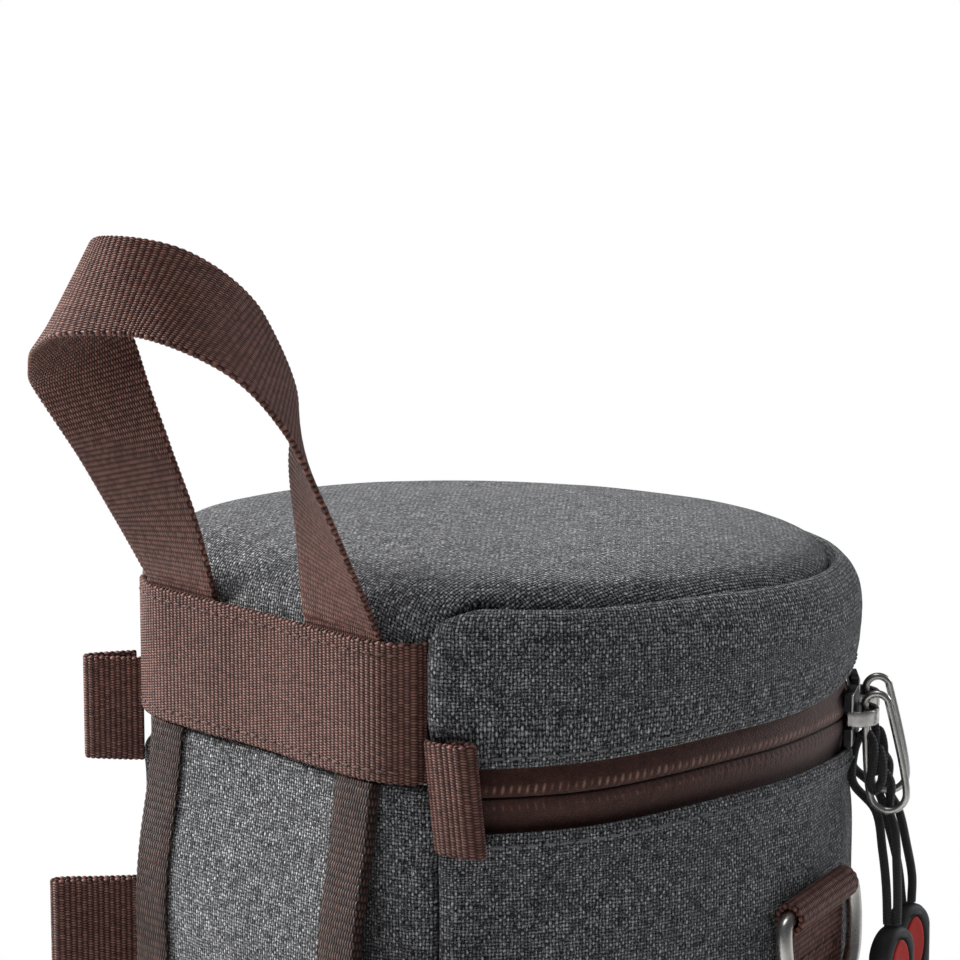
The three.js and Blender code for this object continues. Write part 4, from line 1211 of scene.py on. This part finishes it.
@dataclass
class Slider:
    """Zip slider with its bridge, and the wire ring, doubled cord and rubber end that hang on it."""

    letter: str
    angle: float
    slider_body: Body
    pull_body: Body
    length: float = 11.0
    width: float = 9.8
    plate_inner: float = 62.35
    plate_outer: float = 64.0
    back_outer: float = 59.4
    bridge_reach: float = 67.9
    bridge_half: float = 4.3
    bridge_height: float = 3.0
    bridge_strap: float = 0.7
    ring_wire: float = 1.4
    ring_top: float = 2.3
    ring_foot: float = 3.4
    ring_above: float = 1.8
    ring_length: float = 16.6
    ring_lean: float = 2.4
    cord_width: float = 1.7
    cord_drop: float = 22.0
    end_width: float = 12.0
    end_thickness: float = 4.4
    end_height: float = 25.0
    end_turn: float = 20.0
    recess: float = 0.8
    oval_rise: float = 4.6
    end_swing: float = 0.0

    def place(self, points: Array) -> Array:
        """Put points given as reach, tangent and height at the slider's place."""
        return radial(self.angle, points)

    @property
    def tangent(self) -> Array:
        """Direction along the zip at the slider."""
        return self.place([0.0, 1.0, 0.0])

    @property
    def level(self) -> float:
        """Height of the slider's middle, where its weight drags the zip to."""
        return PLAN.zip_height - 0.75 * PLAN.slider_sag

    @property
    def foot(self) -> tuple[float, float]:
        """Reach and height of the wire ring's lowest point."""
        return (
            self.bridge_reach - 0.1 + self.ring_lean,
            self.level + self.ring_above - self.ring_length - self.ring_foot,
        )

    def plate(self, bm: Mesh, inner: float, outer: float, edge: float) -> None:
        """Add a plate with a rounded nose and a notched mouth, its rim rounded and rubbed bright.

        Args:
            bm: mesh that the plate is added to.
            inner: reach of its inner face.
            outer: reach of its outer face.
            edge: size of its rounded rim.
        """
        half, nose, turn = self.width / 2, self.length / 2, 3.2
        outline = [(-nose, -half), (-nose + 1.2, -half - 0.01)]
        for angle in np.radians(np.linspace(-90, 90, 9)):
            if angle:
                rise = (half - turn) * np.sign(angle) + turn * math.sin(angle)
                outline.append((nose - turn + turn * math.cos(angle), rise))
        outline += [(-nose + 1.2, half + 0.01), (-nose, half), (-nose, 1.7), (-nose + 1.3, 1.1),
                    (-nose + 2.2, 0.0), (-nose + 1.3, -1.1), (-nose, -1.7)]
        ring = bmesh.ops.create_circle(bm, cap_ends=True, segments=len(outline), radius=1.0)["verts"]
        ring.sort(key=lambda v: math.atan2(v.co.y, v.co.x))
        for vert, (y, z) in zip(ring, outline):
            vert.co = (inner * MM, y * MM, (self.level + z) * MM)
        grown = bmesh.ops.extrude_face_region(bm, geom=[ring[0].link_faces[0]])["geom"]
        moved = [g for g in grown if isinstance(g, bmesh.types.BMVert)]
        bmesh.ops.translate(bm, verts=moved, vec=((outer - inner) * MM, 0, 0))
        rim = {e for v in moved for e in v.link_edges if all(w in moved for w in e.verts)}
        for face in bevel(bm, rim, edge, 3):
            face.material_index = 1

    def slider(self, palette: Palette) -> None:
        """Build the slider: two plates, rolled lips and the bridge."""
        bm = bmesh.new()
        self.plate(bm, self.plate_inner, self.plate_outer, 0.28)
        self.plate(bm, self.back_outer - 1.0, self.back_outer, 0.2)
        for side in Side:
            lip = bmesh.ops.create_cube(bm, size=1.0)["verts"]
            rise = self.level + side.value * (self.width / 2 - 0.55)
            bmesh.ops.scale(bm, verts=lip, vec=(1.9 * MM, (self.length - 4.4) * MM, 1.2 * MM))
            bmesh.ops.translate(bm, verts=lip, vec=((self.plate_outer - 0.95) * MM, -0.4 * MM, rise * MM))
            bevel(bm, {e for v in lip for e in v.link_edges}, 0.3, 2)
        turn = Matrix.Rotation(math.radians(180 + self.angle), 3, "Z")
        bmesh.ops.rotate(bm, verts=bm.verts, cent=(0, 0, 0), matrix=turn)
        bmesh.ops.recalc_face_normals(bm, faces=bm.faces)
        piece = add_piece(f"slider_{self.letter}_body", bm, (palette["black_metal"], palette["nickel"]),
                          self.slider_body, "slider_metal", f"slider_{self.letter}")
        piece.data.set_sharp_from_angle(angle=math.radians(40))
        foot, shoulder, crest = self.plate_inner + 0.3, self.plate_outer + 1.5, self.bridge_reach
        half = self.bridge_half
        arch = spline([[foot, -half], [shoulder, -half + 0.2], [crest - 0.55, -half / 2], [crest, 0],
                       [crest - 0.55, half / 2], [shoulder, half - 0.2], [foot, half]], 9)
        strap = Strap(self.bridge_height, self.bridge_strap, rib=0.4, rib_depth=0.0, scallop=0.0, steps=1, columns=4)
        bm = strap.lay(self.place(at_height(arch, self.level)), UP)
        add_piece(f"slider_{self.letter}_bridge", bm, palette["nickel"], self.slider_body, "slider_metal")

    def ring(self, palette: Palette) -> None:
        """Bend the pear-shaped wire ring round the bridge."""
        x, z = self.bridge_reach - 0.1, self.level + self.ring_above
        lean = math.atan2(self.ring_lean, self.ring_length)
        knots = arc_knots(x, z, self.ring_top, range(-10, 191, 40), lean)
        knots += arc_knots(x + self.ring_lean, z - self.ring_length, self.ring_foot, range(190, 351, 32), lean)
        flat = spline(knots, 9, closed=True)
        line = np.insert(np.vstack([flat, flat[:1]]), 1, 0.0, axis=1)
        bm = tube(self.place(line), self.ring_wire / 2, 14, True, self.tangent)
        name, node = f"pull_{self.letter}_ring", f"pull_ring_{self.letter}"
        add_piece(name, bm, palette["nickel"], self.pull_body, "nickel", node)

    def cord_line(self) -> Array:
        """Centre line of the cord, in millimetres: up beside the ring, twice through it and down again."""
        reach, height = self.foot
        half = self.cord_width / 2 + 0.05
        low = height - self.cord_drop
        left = self.bridge_reach - self.ring_top - self.ring_wire - 0.5
        swing = self.end_swing
        knots = [
            [reach + swing - half, 0.0, low], [reach + swing * 0.8 - half - 0.1, 0.1, low + 7],
            [reach + swing * 0.5 - half - 0.6, 0.5, low + 14], [reach + swing * 0.2 - half - 1.8, 1.5, height - 0.5],
            [left - 0.3, 1.9, height + 4.5], [left - 0.4, 1.9, height + 9], [left + 0.6, 1.6, height + 13],
            [left + 2.2, 0.6, height + 14.6], [left + 3.6, -0.6, height + 13], [left + 3.7, -1.0, height + 9],
            [left + 3.2, -0.9, height + 5.6], [left + 4.0, -0.6, height + 3.8], [left + 5.2, -0.5, height + 5.4],
            [left + 5.4, -0.4, height + 9], [left + 4.6, 0.8, height + 11.6], [left + 3.6, 2.0, height + 9.5],
            [reach + 0.2, 2.2, height + 5], [reach + 0.1, 1.8, height - 0.2],
            [reach + swing * 0.3 + half, 1.1, height - 4], [reach + swing * 0.7 + half + 0.1, 0.3, low + 11],
            [reach + swing + half, 0.0, low + 5], [reach + swing + half, 0.0, low],
        ]
        return self.place(spline(knots, 7))

    def mould(self, base: float, rings: Sequence[tuple[float, Array]]) -> Mesh:
        """Stack rings round the cord's end, close both poles and turn the result with the cord.

        Args:
            base: height of the first ring above the inner face.
            rings: rise of each ring and its outline, across and up from the middle.

        Returns:
            The closed mesh.
        """
        reach, height = self.foot
        rises = np.array([rise for rise, _ in rings])[:, None]
        across, up = np.moveaxis(np.array([ring for _, ring in rings]), -1, 0)
        outward = np.broadcast_to(base + rises - self.end_thickness / 2, across.shape)
        middle = height - self.cord_drop - 0.3 - self.end_height / 2
        points = np.stack([outward, across, middle + up], axis=-1)
        for pole in (0, -1):
            points[pole] = points[pole].mean(axis=0)
        points = spin(points, -self.end_turn) + [reach + self.end_swing, 0.0, 0.0]
        return lay_cloth(self.place(points), across, up, joined=True)

    def rubber_end(self, palette: Palette) -> tuple[Piece, Piece]:
        """Mould the rubber end with a shallow oval recess, and the plain oval in it."""
        turn = np.linspace(0.0, 2 * np.pi, 65)
        half_w, half_h, thick, floor = self.end_width / 2, self.end_height / 2, self.end_thickness, self.recess
        wide, tall, pole = 3.2, 5.5, -3.199

        def stadium(shrink: float) -> Array:
            """Outline of the end, drawn in by this much."""
            lift = np.sign(np.sin(turn)) * (half_h - half_w) * np.minimum(1.0, np.abs(np.sin(turn)) * 6)
            return np.stack([np.cos(turn) * (half_w - shrink), np.sin(turn) * (half_w - shrink) + lift], axis=1)

        def oval(grow: float) -> Array:
            """Outline of the recess, let out by this much."""
            return np.stack([np.cos(turn) * (wide + grow), np.sin(turn) * (tall + grow) + self.oval_rise], axis=1)

        rings = [(0.0, oval(pole)), (0.0, stadium(2.2)), (0.12, stadium(1.2)), (0.5, stadium(0.45)),
                 (1.1, stadium(0.08)), (thick / 2, stadium(0.0)), (thick - 1.1, stadium(0.08)),
                 (thick - 0.45, stadium(0.45)), (thick - 0.1, stadium(1.2)), (thick, stadium(1.9)),
                 (thick, oval(0.75)), (thick - 0.1, oval(0.42)), (thick - 0.5, oval(0.3)),
                 (thick - floor, oval(0.2)), (thick - floor, oval(pole))]
        end = add_piece(f"pull_{self.letter}_end", self.mould(0.0, rings), palette["rubber"], self.pull_body,
                        "pull_rubber", f"pull_end_{self.letter}")
        rings = [(0.1, oval(pole)), (0.1, oval(-0.3)), (0.25, oval(-0.05)), (0.5, oval(0.0)), (0.68, oval(-0.15)),
                 (0.75, oval(-0.6)), (0.7, oval(-1.1)), (0.7, oval(pole))]
        inlay = add_piece(f"pull_{self.letter}_inlay", self.mould(thick - floor, rings), palette["red"],
                          self.pull_body, "red_inlay", f"pull_inlay_{self.letter}")
        return end, inlay

    def build(self, palette: Palette) -> None:
        """Build the cord first, then what it hangs on and carries."""
        line = self.cord_line()
        cord = add_piece(f"pull_{self.letter}_cord", tube(line, self.cord_width / 2, 16, False, self.tangent),
                         palette["cord"], self.pull_body, "cord", f"pull_cord_{self.letter}")
        end, inlay = self.rubber_end(palette)
        line = line * MM
        self.ring(palette)
        self.slider(palette)


@dataclass
class BackBand:
    """Webbing band round the back of the lid, over the ends of the handle."""

    width: float = 25.0
    thickness: float = 1.2
    inset: float = -0.3
    end_station: float = 158.5
    end_tuck: float = 1.8
    foot_x: float = 22.5
    foot_half: float = 10.0
    foot_lift: float = 0.65
    foot_slope: float = 9.5
    seam_margin: float = 2.2
    unsewn: int = 8

    def line(self) -> Array:
        """Centre line from seam to seam, lifted over the handle's ends and turned in at its own."""
        _, stations, from_end = PLAN.across_back(self.end_station, 260)
        from_foot = np.abs(np.abs(PLAN.point(stations, 0.0)[:, 0]) - self.foot_x) - self.foot_half
        lift = self.foot_lift * smoothstep((self.foot_slope - 1.0 - from_foot) / self.foot_slope)
        tuck = self.end_tuck * (1 - smoothstep(from_end / self.end_tuck))
        flat = PLAN.point(stations, self.inset + self.thickness / 2 - lift + tuck)
        return at_height(flat, PLAN.zip_height + self.width / 2)

    def build(self, palette: Palette) -> None:
        """Lay the band and sew it along both edges."""
        line = self.line()
        band = Strap(self.width, self.thickness).lay(line, UP)
        add_piece("band", band, palette["webbing"], Body.LID, "webbing", "back_band")
        outward = unit(np.cross(np.gradient(line, axis=0), UP))
        outward *= np.sign(outward[len(line) // 2, 1])
        bm = bmesh.new()
        sewn = line + outward * (self.thickness / 2 + 0.02)
        for height in (self.seam_margin, self.width - self.seam_margin):
            row = at_height(sewn[:, :2], PLAN.zip_height + height)
            Stitch().sew(bm, row[self.unsewn : -self.unsewn], outward[self.unsewn : -self.unsewn])
        add_piece("band_stitches", bm, palette["brown_thread"], Body.LID, "webbing")


@dataclass
class Handle:
    """Webbing handle that stands up from behind the band in a twisted loop."""

    width: float = 20.0
    thickness: float = 1.2
    foot_bottom: float = 187.0
    band_top: float = 210.0
    foot_inset: float = 1.35
    foot_rows: int = 24
    stations: tuple = (
        (22.5, -0.9, 1.2, 0, 0), (22.7, 4.6, 14.1, 9.2, 9.3), (24.4, 10.4, 27.6, 16, 22.4),
        (24.7, 17.6, 41.6, 34.6, 35.1), (18.9, 24.6, 50.3, 55.3, 46.5), (11, 31.8, 57, 74, 57.6),
        (0.3, 36.1, 61, 102, 51.5), (-12.5, 29.4, 60.5, 116.2, 41.3), (-22.9, 21.1, 53.1, 129.2, 30.3),
        (-26.4, 13.4, 40.8, 136.3, 13.4), (-25.5, 9, 27.3, 156.5, 10), (-23.8, 3.5, 13.6, 174, 20.2),
        (-22.5, -0.9, 1.2, 180, 0),
    )

    def build(self, palette: Palette) -> None:
        """Lay the webbing in one run from end to end."""
        x, back, up, turn, dip = np.array(self.stations, float).T
        turn, dip = np.radians(turn), np.radians(dip)
        loop = spline(np.stack([x, PLAN.radius + back, self.band_top + up], axis=1), 24)
        edges = spline(np.stack([np.cos(turn) * np.cos(dip), np.sin(turn) * np.cos(dip), -np.sin(dip)], axis=1), 24)
        heights = np.linspace(self.foot_bottom, self.band_top - 0.5, self.foot_rows)
        places = np.tile([0.0, PLAN.radius - self.foot_inset], (self.foot_rows, 1))
        right, left = (at_height(places + [end, 0.0], heights) for end in (x[0], x[-1]))
        line = np.vstack([right, loop, left[::-1]])
        across = np.vstack([np.repeat(edges[:1], self.foot_rows, axis=0), edges,
                            np.repeat(edges[-1:], self.foot_rows, axis=0)])
        bm = Strap(self.width, self.thickness).lay(line, across)
        add_piece("handle_webbing", bm, palette["webbing"], Bend(Body.LID, Body.HANDLE, 209.6, 214.5), "webbing",
                  "handle", "handle_foot_left", "handle_foot_right")


@dataclass
class BeltFlap:
    """Canvas belt loop on the back with bound edges."""

    half_width: float = 31.4
    binding: float = 10.0
    cloth: float = 1.2
    cloth_inset: float = 1.2
    bottom: float = 60.0
    rib: float = 1.4
    rib_depth: float = 0.14

    def sweep(self, section: Array, step: float) -> tuple[Array, Array]:
        """Sweep a section down the flap.

        Args:
            section: across and off the cloth, row by row.
            step: distance between the rows of the sweep.

        Returns:
            Points, and the distance of each row.
        """
        line = spline(
            [[62.5, 184.6], [62.9, 183.4], [64.2, 173.0], [66.4, 161.0], [67.4, 151.0], [67.3, 141.0],
             [68.2, 128.0], [69.8, 108.0], [69.0, 86.0], [66.4, 71.0], [64.9, 64.0], [64.6, self.bottom]], 16)
        whole = lengths(line)[-1]
        at = np.linspace(0.0, whole, round(whole / step) + 1)
        line = resample(line, at)
        along = unit(np.gradient(line, axis=0))
        x, off = np.broadcast_to(section[:, 0], (len(at), len(section))), section[:, 1]
        return np.stack([x, line[:, :1] - along[:, 1:] * off, line[:, 1:] + along[:, :1] * off], axis=-1), at

    def build(self, palette: Palette) -> None:
        """Build the cloth and its two bindings."""
        across = np.linspace(-self.half_width + self.cloth_inset, self.half_width - self.cloth_inset, 48)
        points, at = self.sweep(np.column_stack([across, np.full(48, self.cloth / 2)]), 2.0)
        at = at[:, None]
        points[:, :, 1] += rumple(across, at, 1.0, 24.0) * 0.7 * np.sin(np.pi * at / at[-1])
        bm = lay_cloth(points, across, at, middle=(0, 0, 120))
        cloth = add_piece("flap_cloth", bm, palette["canvas"], Body.BAG, "canvas", "belt_flap", wall=self.cloth)
        skin, inner, outer = self.cloth / 2 + 0.75, self.half_width - self.binding, self.half_width
        fold = np.array([[inner, skin - 0.25], [inner + 0.3, skin], [inner + 3, skin + 0.1],
                         [inner + 5.5, skin + 0.12], [outer - skin - 0.2, skin],
                         *arc_knots(outer - skin, 0.0, skin, range(75, -76, -15)),
                         [outer - skin - 0.2, -skin], [inner + 4, -skin], [inner, -skin + 0.1]])
        for side in Side:
            points, at = self.sweep(fold * [side.value, 1], self.rib / 4)
            ridge = np.abs(np.sin(np.pi * at / self.rib))[:, None, None]
            inward = points - points.mean(axis=1, keepdims=True)
            points -= unit(inward * [0.15, 1, 0.3]) * self.rib_depth * (1 - ridge)
            middle = (side.value * (inner + 5), PLAN.radius + 7, 120)
            bm = lay_cloth(points, lengths(fold), at[:, None], middle=middle)
            add_piece(f"flap_edge_{side.word}", bm, palette["binding"], Body.BAG, "binding",
                                   f"flap_binding_{side.word}", wall=0.5)


@dataclass(frozen=True)
class TabFold:
    """Shape of a tab at an end of the zip, seen from above."""

    offset: float
    lean: float
    knots: tuple


TAB_FOLDS = {
    Side.LEFT: TabFold(-1.4, 0.095, ((0.2, -1.4), (1.8, 0.2), (2.9, 2.6), (3.7, 5.0), (3.6, 6.3), (2.6, 7.2),
                                     (1.35, 6.8), (1.0, 5.0), (0.9, 2.2))),
    Side.RIGHT: TabFold(-1.6, 0.0, ((-0.2, 0.7), (0.7, 0.6), (6.0, 1.6), (9.7, 2.6), (10.4, 3.2), (10.2, 4.2),
                                    (5.0, 5.6), (1.0, 6.2))),
}


@dataclass
class SeamTabs:
    """Folded webbing tabs at the ends of the zip and lower down in the rear seams."""

    webbing: float = 1.2
    width: float = 20.0
    rear_width: float = 25.0
    rear_reach: float = 18.0
    rear_top: float = 151.0

    def tab(self, side: Side, knots: Sequence[tuple], width: float, top: float, lean: float = 0.0) -> Mesh:
        """Lay one upright folded tab.

        Args:
            side: side of the bag.
            knots: reach off the bag and place along the seam's outline, seen from above.
            width: height of the tab.
            top: height of its upper edge.
            lean: slope by which its foot leans in.

        Returns:
            The tab.
        """
        out, aside = np.array([0.6, 0.8]), np.array([0.8, -0.6])
        root, mirror = PLAN.point(PLAN.seam_station, 0.0), np.array([side.value, 1.0])
        flat = spline([(root + out * rise + aside * along) * mirror for rise, along in knots], 10)
        bm = Strap(width, self.webbing, steps=6).lay(at_height(flat, top - width / 2), UP)
        slope = Matrix.Identity(4)
        for axis, share in enumerate((0.8, 0.6)):
            slope[axis][2], slope[axis][3] = share * lean, -share * lean * top * MM
        bmesh.ops.transform(bm, matrix=slope, verts=bm.verts)
        return bm

    def build(self, palette: Palette) -> None:
        """Build all four tabs."""
        layer, reach, zip_bend = self.webbing / 2 + 0.2, self.rear_reach, Bend(Body.BAG, Body.LID, 179.0, 190.0)
        up = [(-1.5, -layer), (0.5, -layer), (reach / 2, -layer), (reach - 1.6, -layer - 0.1)]
        rear = [*up, (reach - 0.6, 0), *((along, -across) for along, across in reversed(up))]
        for side in Side:
            fold = TAB_FOLDS[side]
            bm = self.tab(side, fold.knots, self.width, PLAN.zip_height + fold.offset + self.width / 2, fold.lean)
            add_piece(f"zip_tab_{side.word}", bm, palette["webbing"], zip_bend, "webbing", f"zip_end_tab_{side.word}")
            bm = self.tab(side, rear, self.rear_width, self.rear_top)
            add_piece(f"seam_tab_{side.word}", bm, palette["webbing"], Body.BAG, "webbing", f"rear_tab_{side.word}")


@dataclass
class CarryingRing:
    """Webbing loop sewn on the side, round the bar of a D-shaped ring."""

    side: Side
    ring_body: Body
    angle: float
    wire: float = 3.0
    bar_height: float = 155.5
    tab_bottom: float = 122.0
    width: float = 20.0
    webbing: float = 1.2
    gap: float = 0.3
    leg: float = 8.0
    corner: float = 2.0
    tilt: float = 5.8
    roll: float = 0.13

    def hitch(self, bm: Mesh) -> Mesh:
        """Draw a mesh up towards the front, as the ring hangs askew."""
        turn = math.radians(180.0 + self.angle)
        slope = Matrix.Identity(4)
        slope[2][0], slope[2][1] = -math.sin(turn) * self.roll, math.cos(turn) * self.roll
        bmesh.ops.transform(bm, matrix=slope, verts=bm.verts)
        return bm

    @property
    def inner(self) -> float:
        """Reach of the loop's inner face."""
        return PLAN.radius - PLAN.side_slack + 0.3

    @property
    def bar_reach(self) -> float:
        """Reach of the ring's bar."""
        return self.inner + self.webbing + self.gap + self.wire / 2

    def loop(self, palette: Palette) -> None:
        """Lay the loop up the side, round the bar and down again, and sew it below the bar."""
        wrap = self.wire / 2 + self.gap + self.webbing / 2
        back = self.inner + self.webbing / 2
        front = back + self.webbing + self.gap
        bar, bottom = self.bar_height, self.tab_bottom
        knots = [[back, bottom], [back, (bottom + bar) / 2], [back, bar - 3],
                 *arc_knots(self.bar_reach, bar, wrap, range(180, -61, -30)),
                 [front + 0.2, bar - 4], [front, bar - 7], [front, bottom]]
        line = radial(self.angle, np.insert(spline(knots, 8), 1, 0.0, axis=1))
        bm = self.hitch(Strap(self.width, self.webbing, steps=6).lay(line, radial(self.angle, [0.0, 1.0, 0.0])))
        add_piece(f"ring_loop_{self.side.word}", bm, palette["webbing"], Body.BAG, "webbing",
                  f"ring_tab_{self.side.word}")
        half, low, high = self.width / 2 - 2.2, bottom + 2.5, bar - 9.5
        one, two, three, four = (-half, low), (half, low), (-half, high), (half, high)
        bm = bmesh.new()
        for start, end in ((three, four), (one, two), (one, three), (two, four), (one, four), (two, three)):
            row = np.insert(np.linspace(start, end, 12), 0, front + self.webbing / 2 + 0.02, axis=1)
            Stitch().sew(bm, radial(self.angle, row), radial(self.angle, [1.0, 0.0, 0.0]))
        name = f"ring_loop_stitches_{self.side.word}"
        add_piece(name, self.hitch(bm), palette["brown_thread"], Body.BAG, "webbing")

    def ring(self, palette: Palette) -> None:
        """Bend the D-shaped ring."""
        half, corner, tilt = self.width / 2 + 0.3 + self.wire / 2, self.corner, math.radians(self.tilt)
        knots = [[0, 0], [half - corner, 0], [half - 0.6, -0.6], [half, -corner],
                 *arc_knots(0.0, -self.leg, half, range(0, -181, -30)),
                 [-half, -corner], [-half + 0.6, -0.6], [-half + corner, 0]]
        flat = spline(knots, 10, closed=True)
        x, y = np.vstack([flat, flat[:1]]).T
        line = np.stack([self.bar_reach - y * math.sin(tilt), x, self.bar_height + y * math.cos(tilt)], axis=1)
        normal = radial(self.angle, [math.cos(tilt), 0.0, math.sin(tilt)])
        bm = self.hitch(tube(radial(self.angle, line), self.wire / 2, 20, True, normal))
        name, node = f"carry_ring_{self.side.word}", f"carrying_ring_{self.side.word}"
        add_piece(name, bm, palette["nickel"], self.ring_body, "nickel", node)

    def build(self, palette: Palette) -> None:
        """Build the loop and the ring."""
        self.loop(palette)
        self.ring(palette)


@dataclass
class ZipStitching:
    """Rows of stitches along the hems above and below the zip."""

    above: float = 1.9
    below: float = 2.2
    end_station: float = 152.0
    samples: int = 400
    stitch: Stitch = Stitch(3.1, 2.5, 0.5)

    def build(self, palette: Palette) -> None:
        """Sew both rows."""
        end = float(PLAN.arc(self.end_station))
        stations = PLAN.station(np.linspace(-end, end, self.samples))
        outward = unit(at_height(PLAN.point(stations, -1.0) - PLAN.point(stations, 0.0), 0.0))
        for name, body, inset, height, follow in (
            ("upper_hem_stitches", Body.LID, 0.62, PLAN.upper_hem + self.above, -0.5),
            ("lower_hem_stitches", Body.BAG, PLAN.slack(stations) * 0.4, PLAN.lower_hem - self.below, 1.0),
        ):
            z = height + PLAN.dip(stations) + PLAN.drag(stations) * follow
            bm = bmesh.new()
            self.stitch.sew(bm, at_height(PLAN.point(stations, inset), z), outward)
            add_piece(name, bm, palette["grey_thread"], body, "canvas")


# Studio


def seen_by_camera(tree: bpy.types.NodeTree) -> bpy.types.NodeSocket:
    """Number that is 1 for rays that come from the camera, straight or through something clear."""
    path, seen = tree.nodes.new("ShaderNodeLightPath"), tree.nodes.new("ShaderNodeMath")
    seen.operation = "MAXIMUM"
    for ray, socket in zip(("Is Camera Ray", "Is Transmission Ray"), seen.inputs):
        tree.links.new(path.outputs[ray], socket)
    return seen.outputs[0]


def mix_shaders(tree: bpy.types.NodeTree, out: bpy.types.NodeSocket, *parts: bpy.types.NodeSocket) -> None:
    """Mix two shaders in a tree.

    Args:
        tree: the node tree.
        out: where the result goes.
        parts: the share of the second shader, then both shaders.
    """
    mix = tree.nodes.new("ShaderNodeMixShader")
    for part, socket in zip(parts, mix.inputs):
        tree.links.new(part, socket)
    tree.links.new(mix.outputs[0], out)


@dataclass
class Studio:
    """Camera, floor and soft light."""

    location: tuple = (-0.48618, 0.45496, 0.35126)
    forward: tuple = (0.72501, -0.66319, -0.18585)
    lens: float = 135.4
    fill: float = 0.10
    clean_radius: float = 0.2

    def camera(self) -> None:
        """Stand the camera where the photograph was taken."""
        ahead = Vector(self.forward).normalized()
        right = ahead.cross(Vector(UP)).normalized()
        data = bpy.data.cameras.new("camera")
        data.sensor_width = 36.0
        data.lens = self.lens
        data.clip_start, data.clip_end = 0.02, 60.0
        eye = bpy.data.objects.new("camera", data)
        turn = Matrix((right, right.cross(ahead), -ahead)).transposed().to_4x4()
        turn.translation = Vector(self.location)
        eye.matrix_world = turn
        bpy.context.scene.collection.objects.link(eye)
        bpy.context.scene.camera = eye

    def floor(self) -> None:
        """Lay a pale floor that keeps the bag's shadow and runs out to white."""
        bm = bmesh.new()
        bmesh.ops.create_circle(bm, cap_ends=True, segments=96, radius=30.0)
        mesh = bpy.data.meshes.new("floor")
        bm.to_mesh(mesh)
        bm.free()
        s = Shader("pale_floor")
        s.finish((0.8, 0.8, 0.8, 1.0), 0.9, specular=0.1)
        split = s.add("ShaderNodeSeparateXYZ")
        s.put(split.inputs[0], s.objectwise())
        x, y = Value(s, split.outputs[0]), Value(s, split.outputs[1])
        far = s.math("MULTIPLY", (x**2.0 + y**2.0).calculate("SQRT") - self.clean_radius, 5.5, clamp=True)
        share = far * Value(s, seen_by_camera(s.tree))
        white = s.add("ShaderNodeEmission")
        mix_shaders(s.tree, s.out, share.socket, s.surface.outputs[0], white.outputs[0])
        mesh.materials.append(s.material)
        floor = bpy.data.objects.new("floor", mesh)
        bpy.context.scene.collection.objects.link(floor)

    def world(self) -> None:
        """Fill the room with soft light, white where the camera looks past the floor."""
        world = bpy.data.worlds.new("studio")
        bpy.context.scene.world = world
        world.use_nodes = True
        tree = world.node_tree
        tree.nodes.clear()
        fill, white = (tree.nodes.new("ShaderNodeBackground") for _ in range(2))
        fill.inputs["Color"].default_value = (0.93, 0.96, 1.0, 1.0)
        fill.inputs["Strength"].default_value = self.fill
        out = tree.nodes.new("ShaderNodeOutputWorld").inputs[0]
        mix_shaders(tree, out, seen_by_camera(tree), fill.outputs[0], white.outputs[0])

    def lamp(self, name: str, place: tuple, size: float, power: float, colour: Colour) -> None:
        """Hang one soft lamp that faces the bag.

        Args:
            name: name of the lamp.
            place: where it hangs, in metres.
            size: side of its square face.
            power: its power in watts.
            colour: its colour.
        """
        data = bpy.data.lights.new(name, "AREA")
        data.shape, data.size, data.energy, data.color = "SQUARE", size, power, colour
        lamp = bpy.data.objects.new(name, data)
        lamp.location = place
        lamp.rotation_euler = (Vector((0, 0, 0.15)) - Vector(place)).to_track_quat("-Z", "Y").to_euler()
        bpy.context.scene.collection.objects.link(lamp)

    def build(self) -> None:
        """Set up everything round the bag."""
        self.camera()
        self.floor()
        self.world()
        self.lamp("key", (1.45, 0.74, 0.95), 0.4, 48.0, (1.0, 0.99, 0.97))
        self.lamp("top", (0.1, 0.4, 1.5), 0.8, 8.0, (1.0, 1.0, 1.0))
        self.lamp("rim", (-0.35, -1.25, 0.6), 0.6, 5.6, (0.95, 0.97, 1.0))
        bpy.context.scene.view_settings.view_transform = "Standard"


def main() -> None:
    """Build the bag piece by piece and set the studio round it."""
    logging.basicConfig(level=logging.INFO, format="%(name)s: %(message)s")
    Studio().build()
    palette = {name: finish.make() for name, finish in FINISHES.items()}
    for part in (
        Slider("a", 35.0, Body.SLIDER_A, Body.PULL_A, end_turn=24.0, end_swing=1.3),
        Slider("b", 46.6, Body.SLIDER_B, Body.PULL_B, end_turn=40.0, end_swing=4.0),
        BodyShell(),
        LidShell(),
        Padding(),
        Linings(),
        ZipTapes(),
        ZipStitching(),
        BackBand(),
        Handle(),
        BeltFlap(),
        SeamTabs(),
        CarryingRing(Side.LEFT, Body.RING_LEFT, 11.5),
        CarryingRing(Side.RIGHT, Body.RING_RIGHT, 168.5),
    ):
        part.build(palette)


if __name__ == "__main__":
    main()
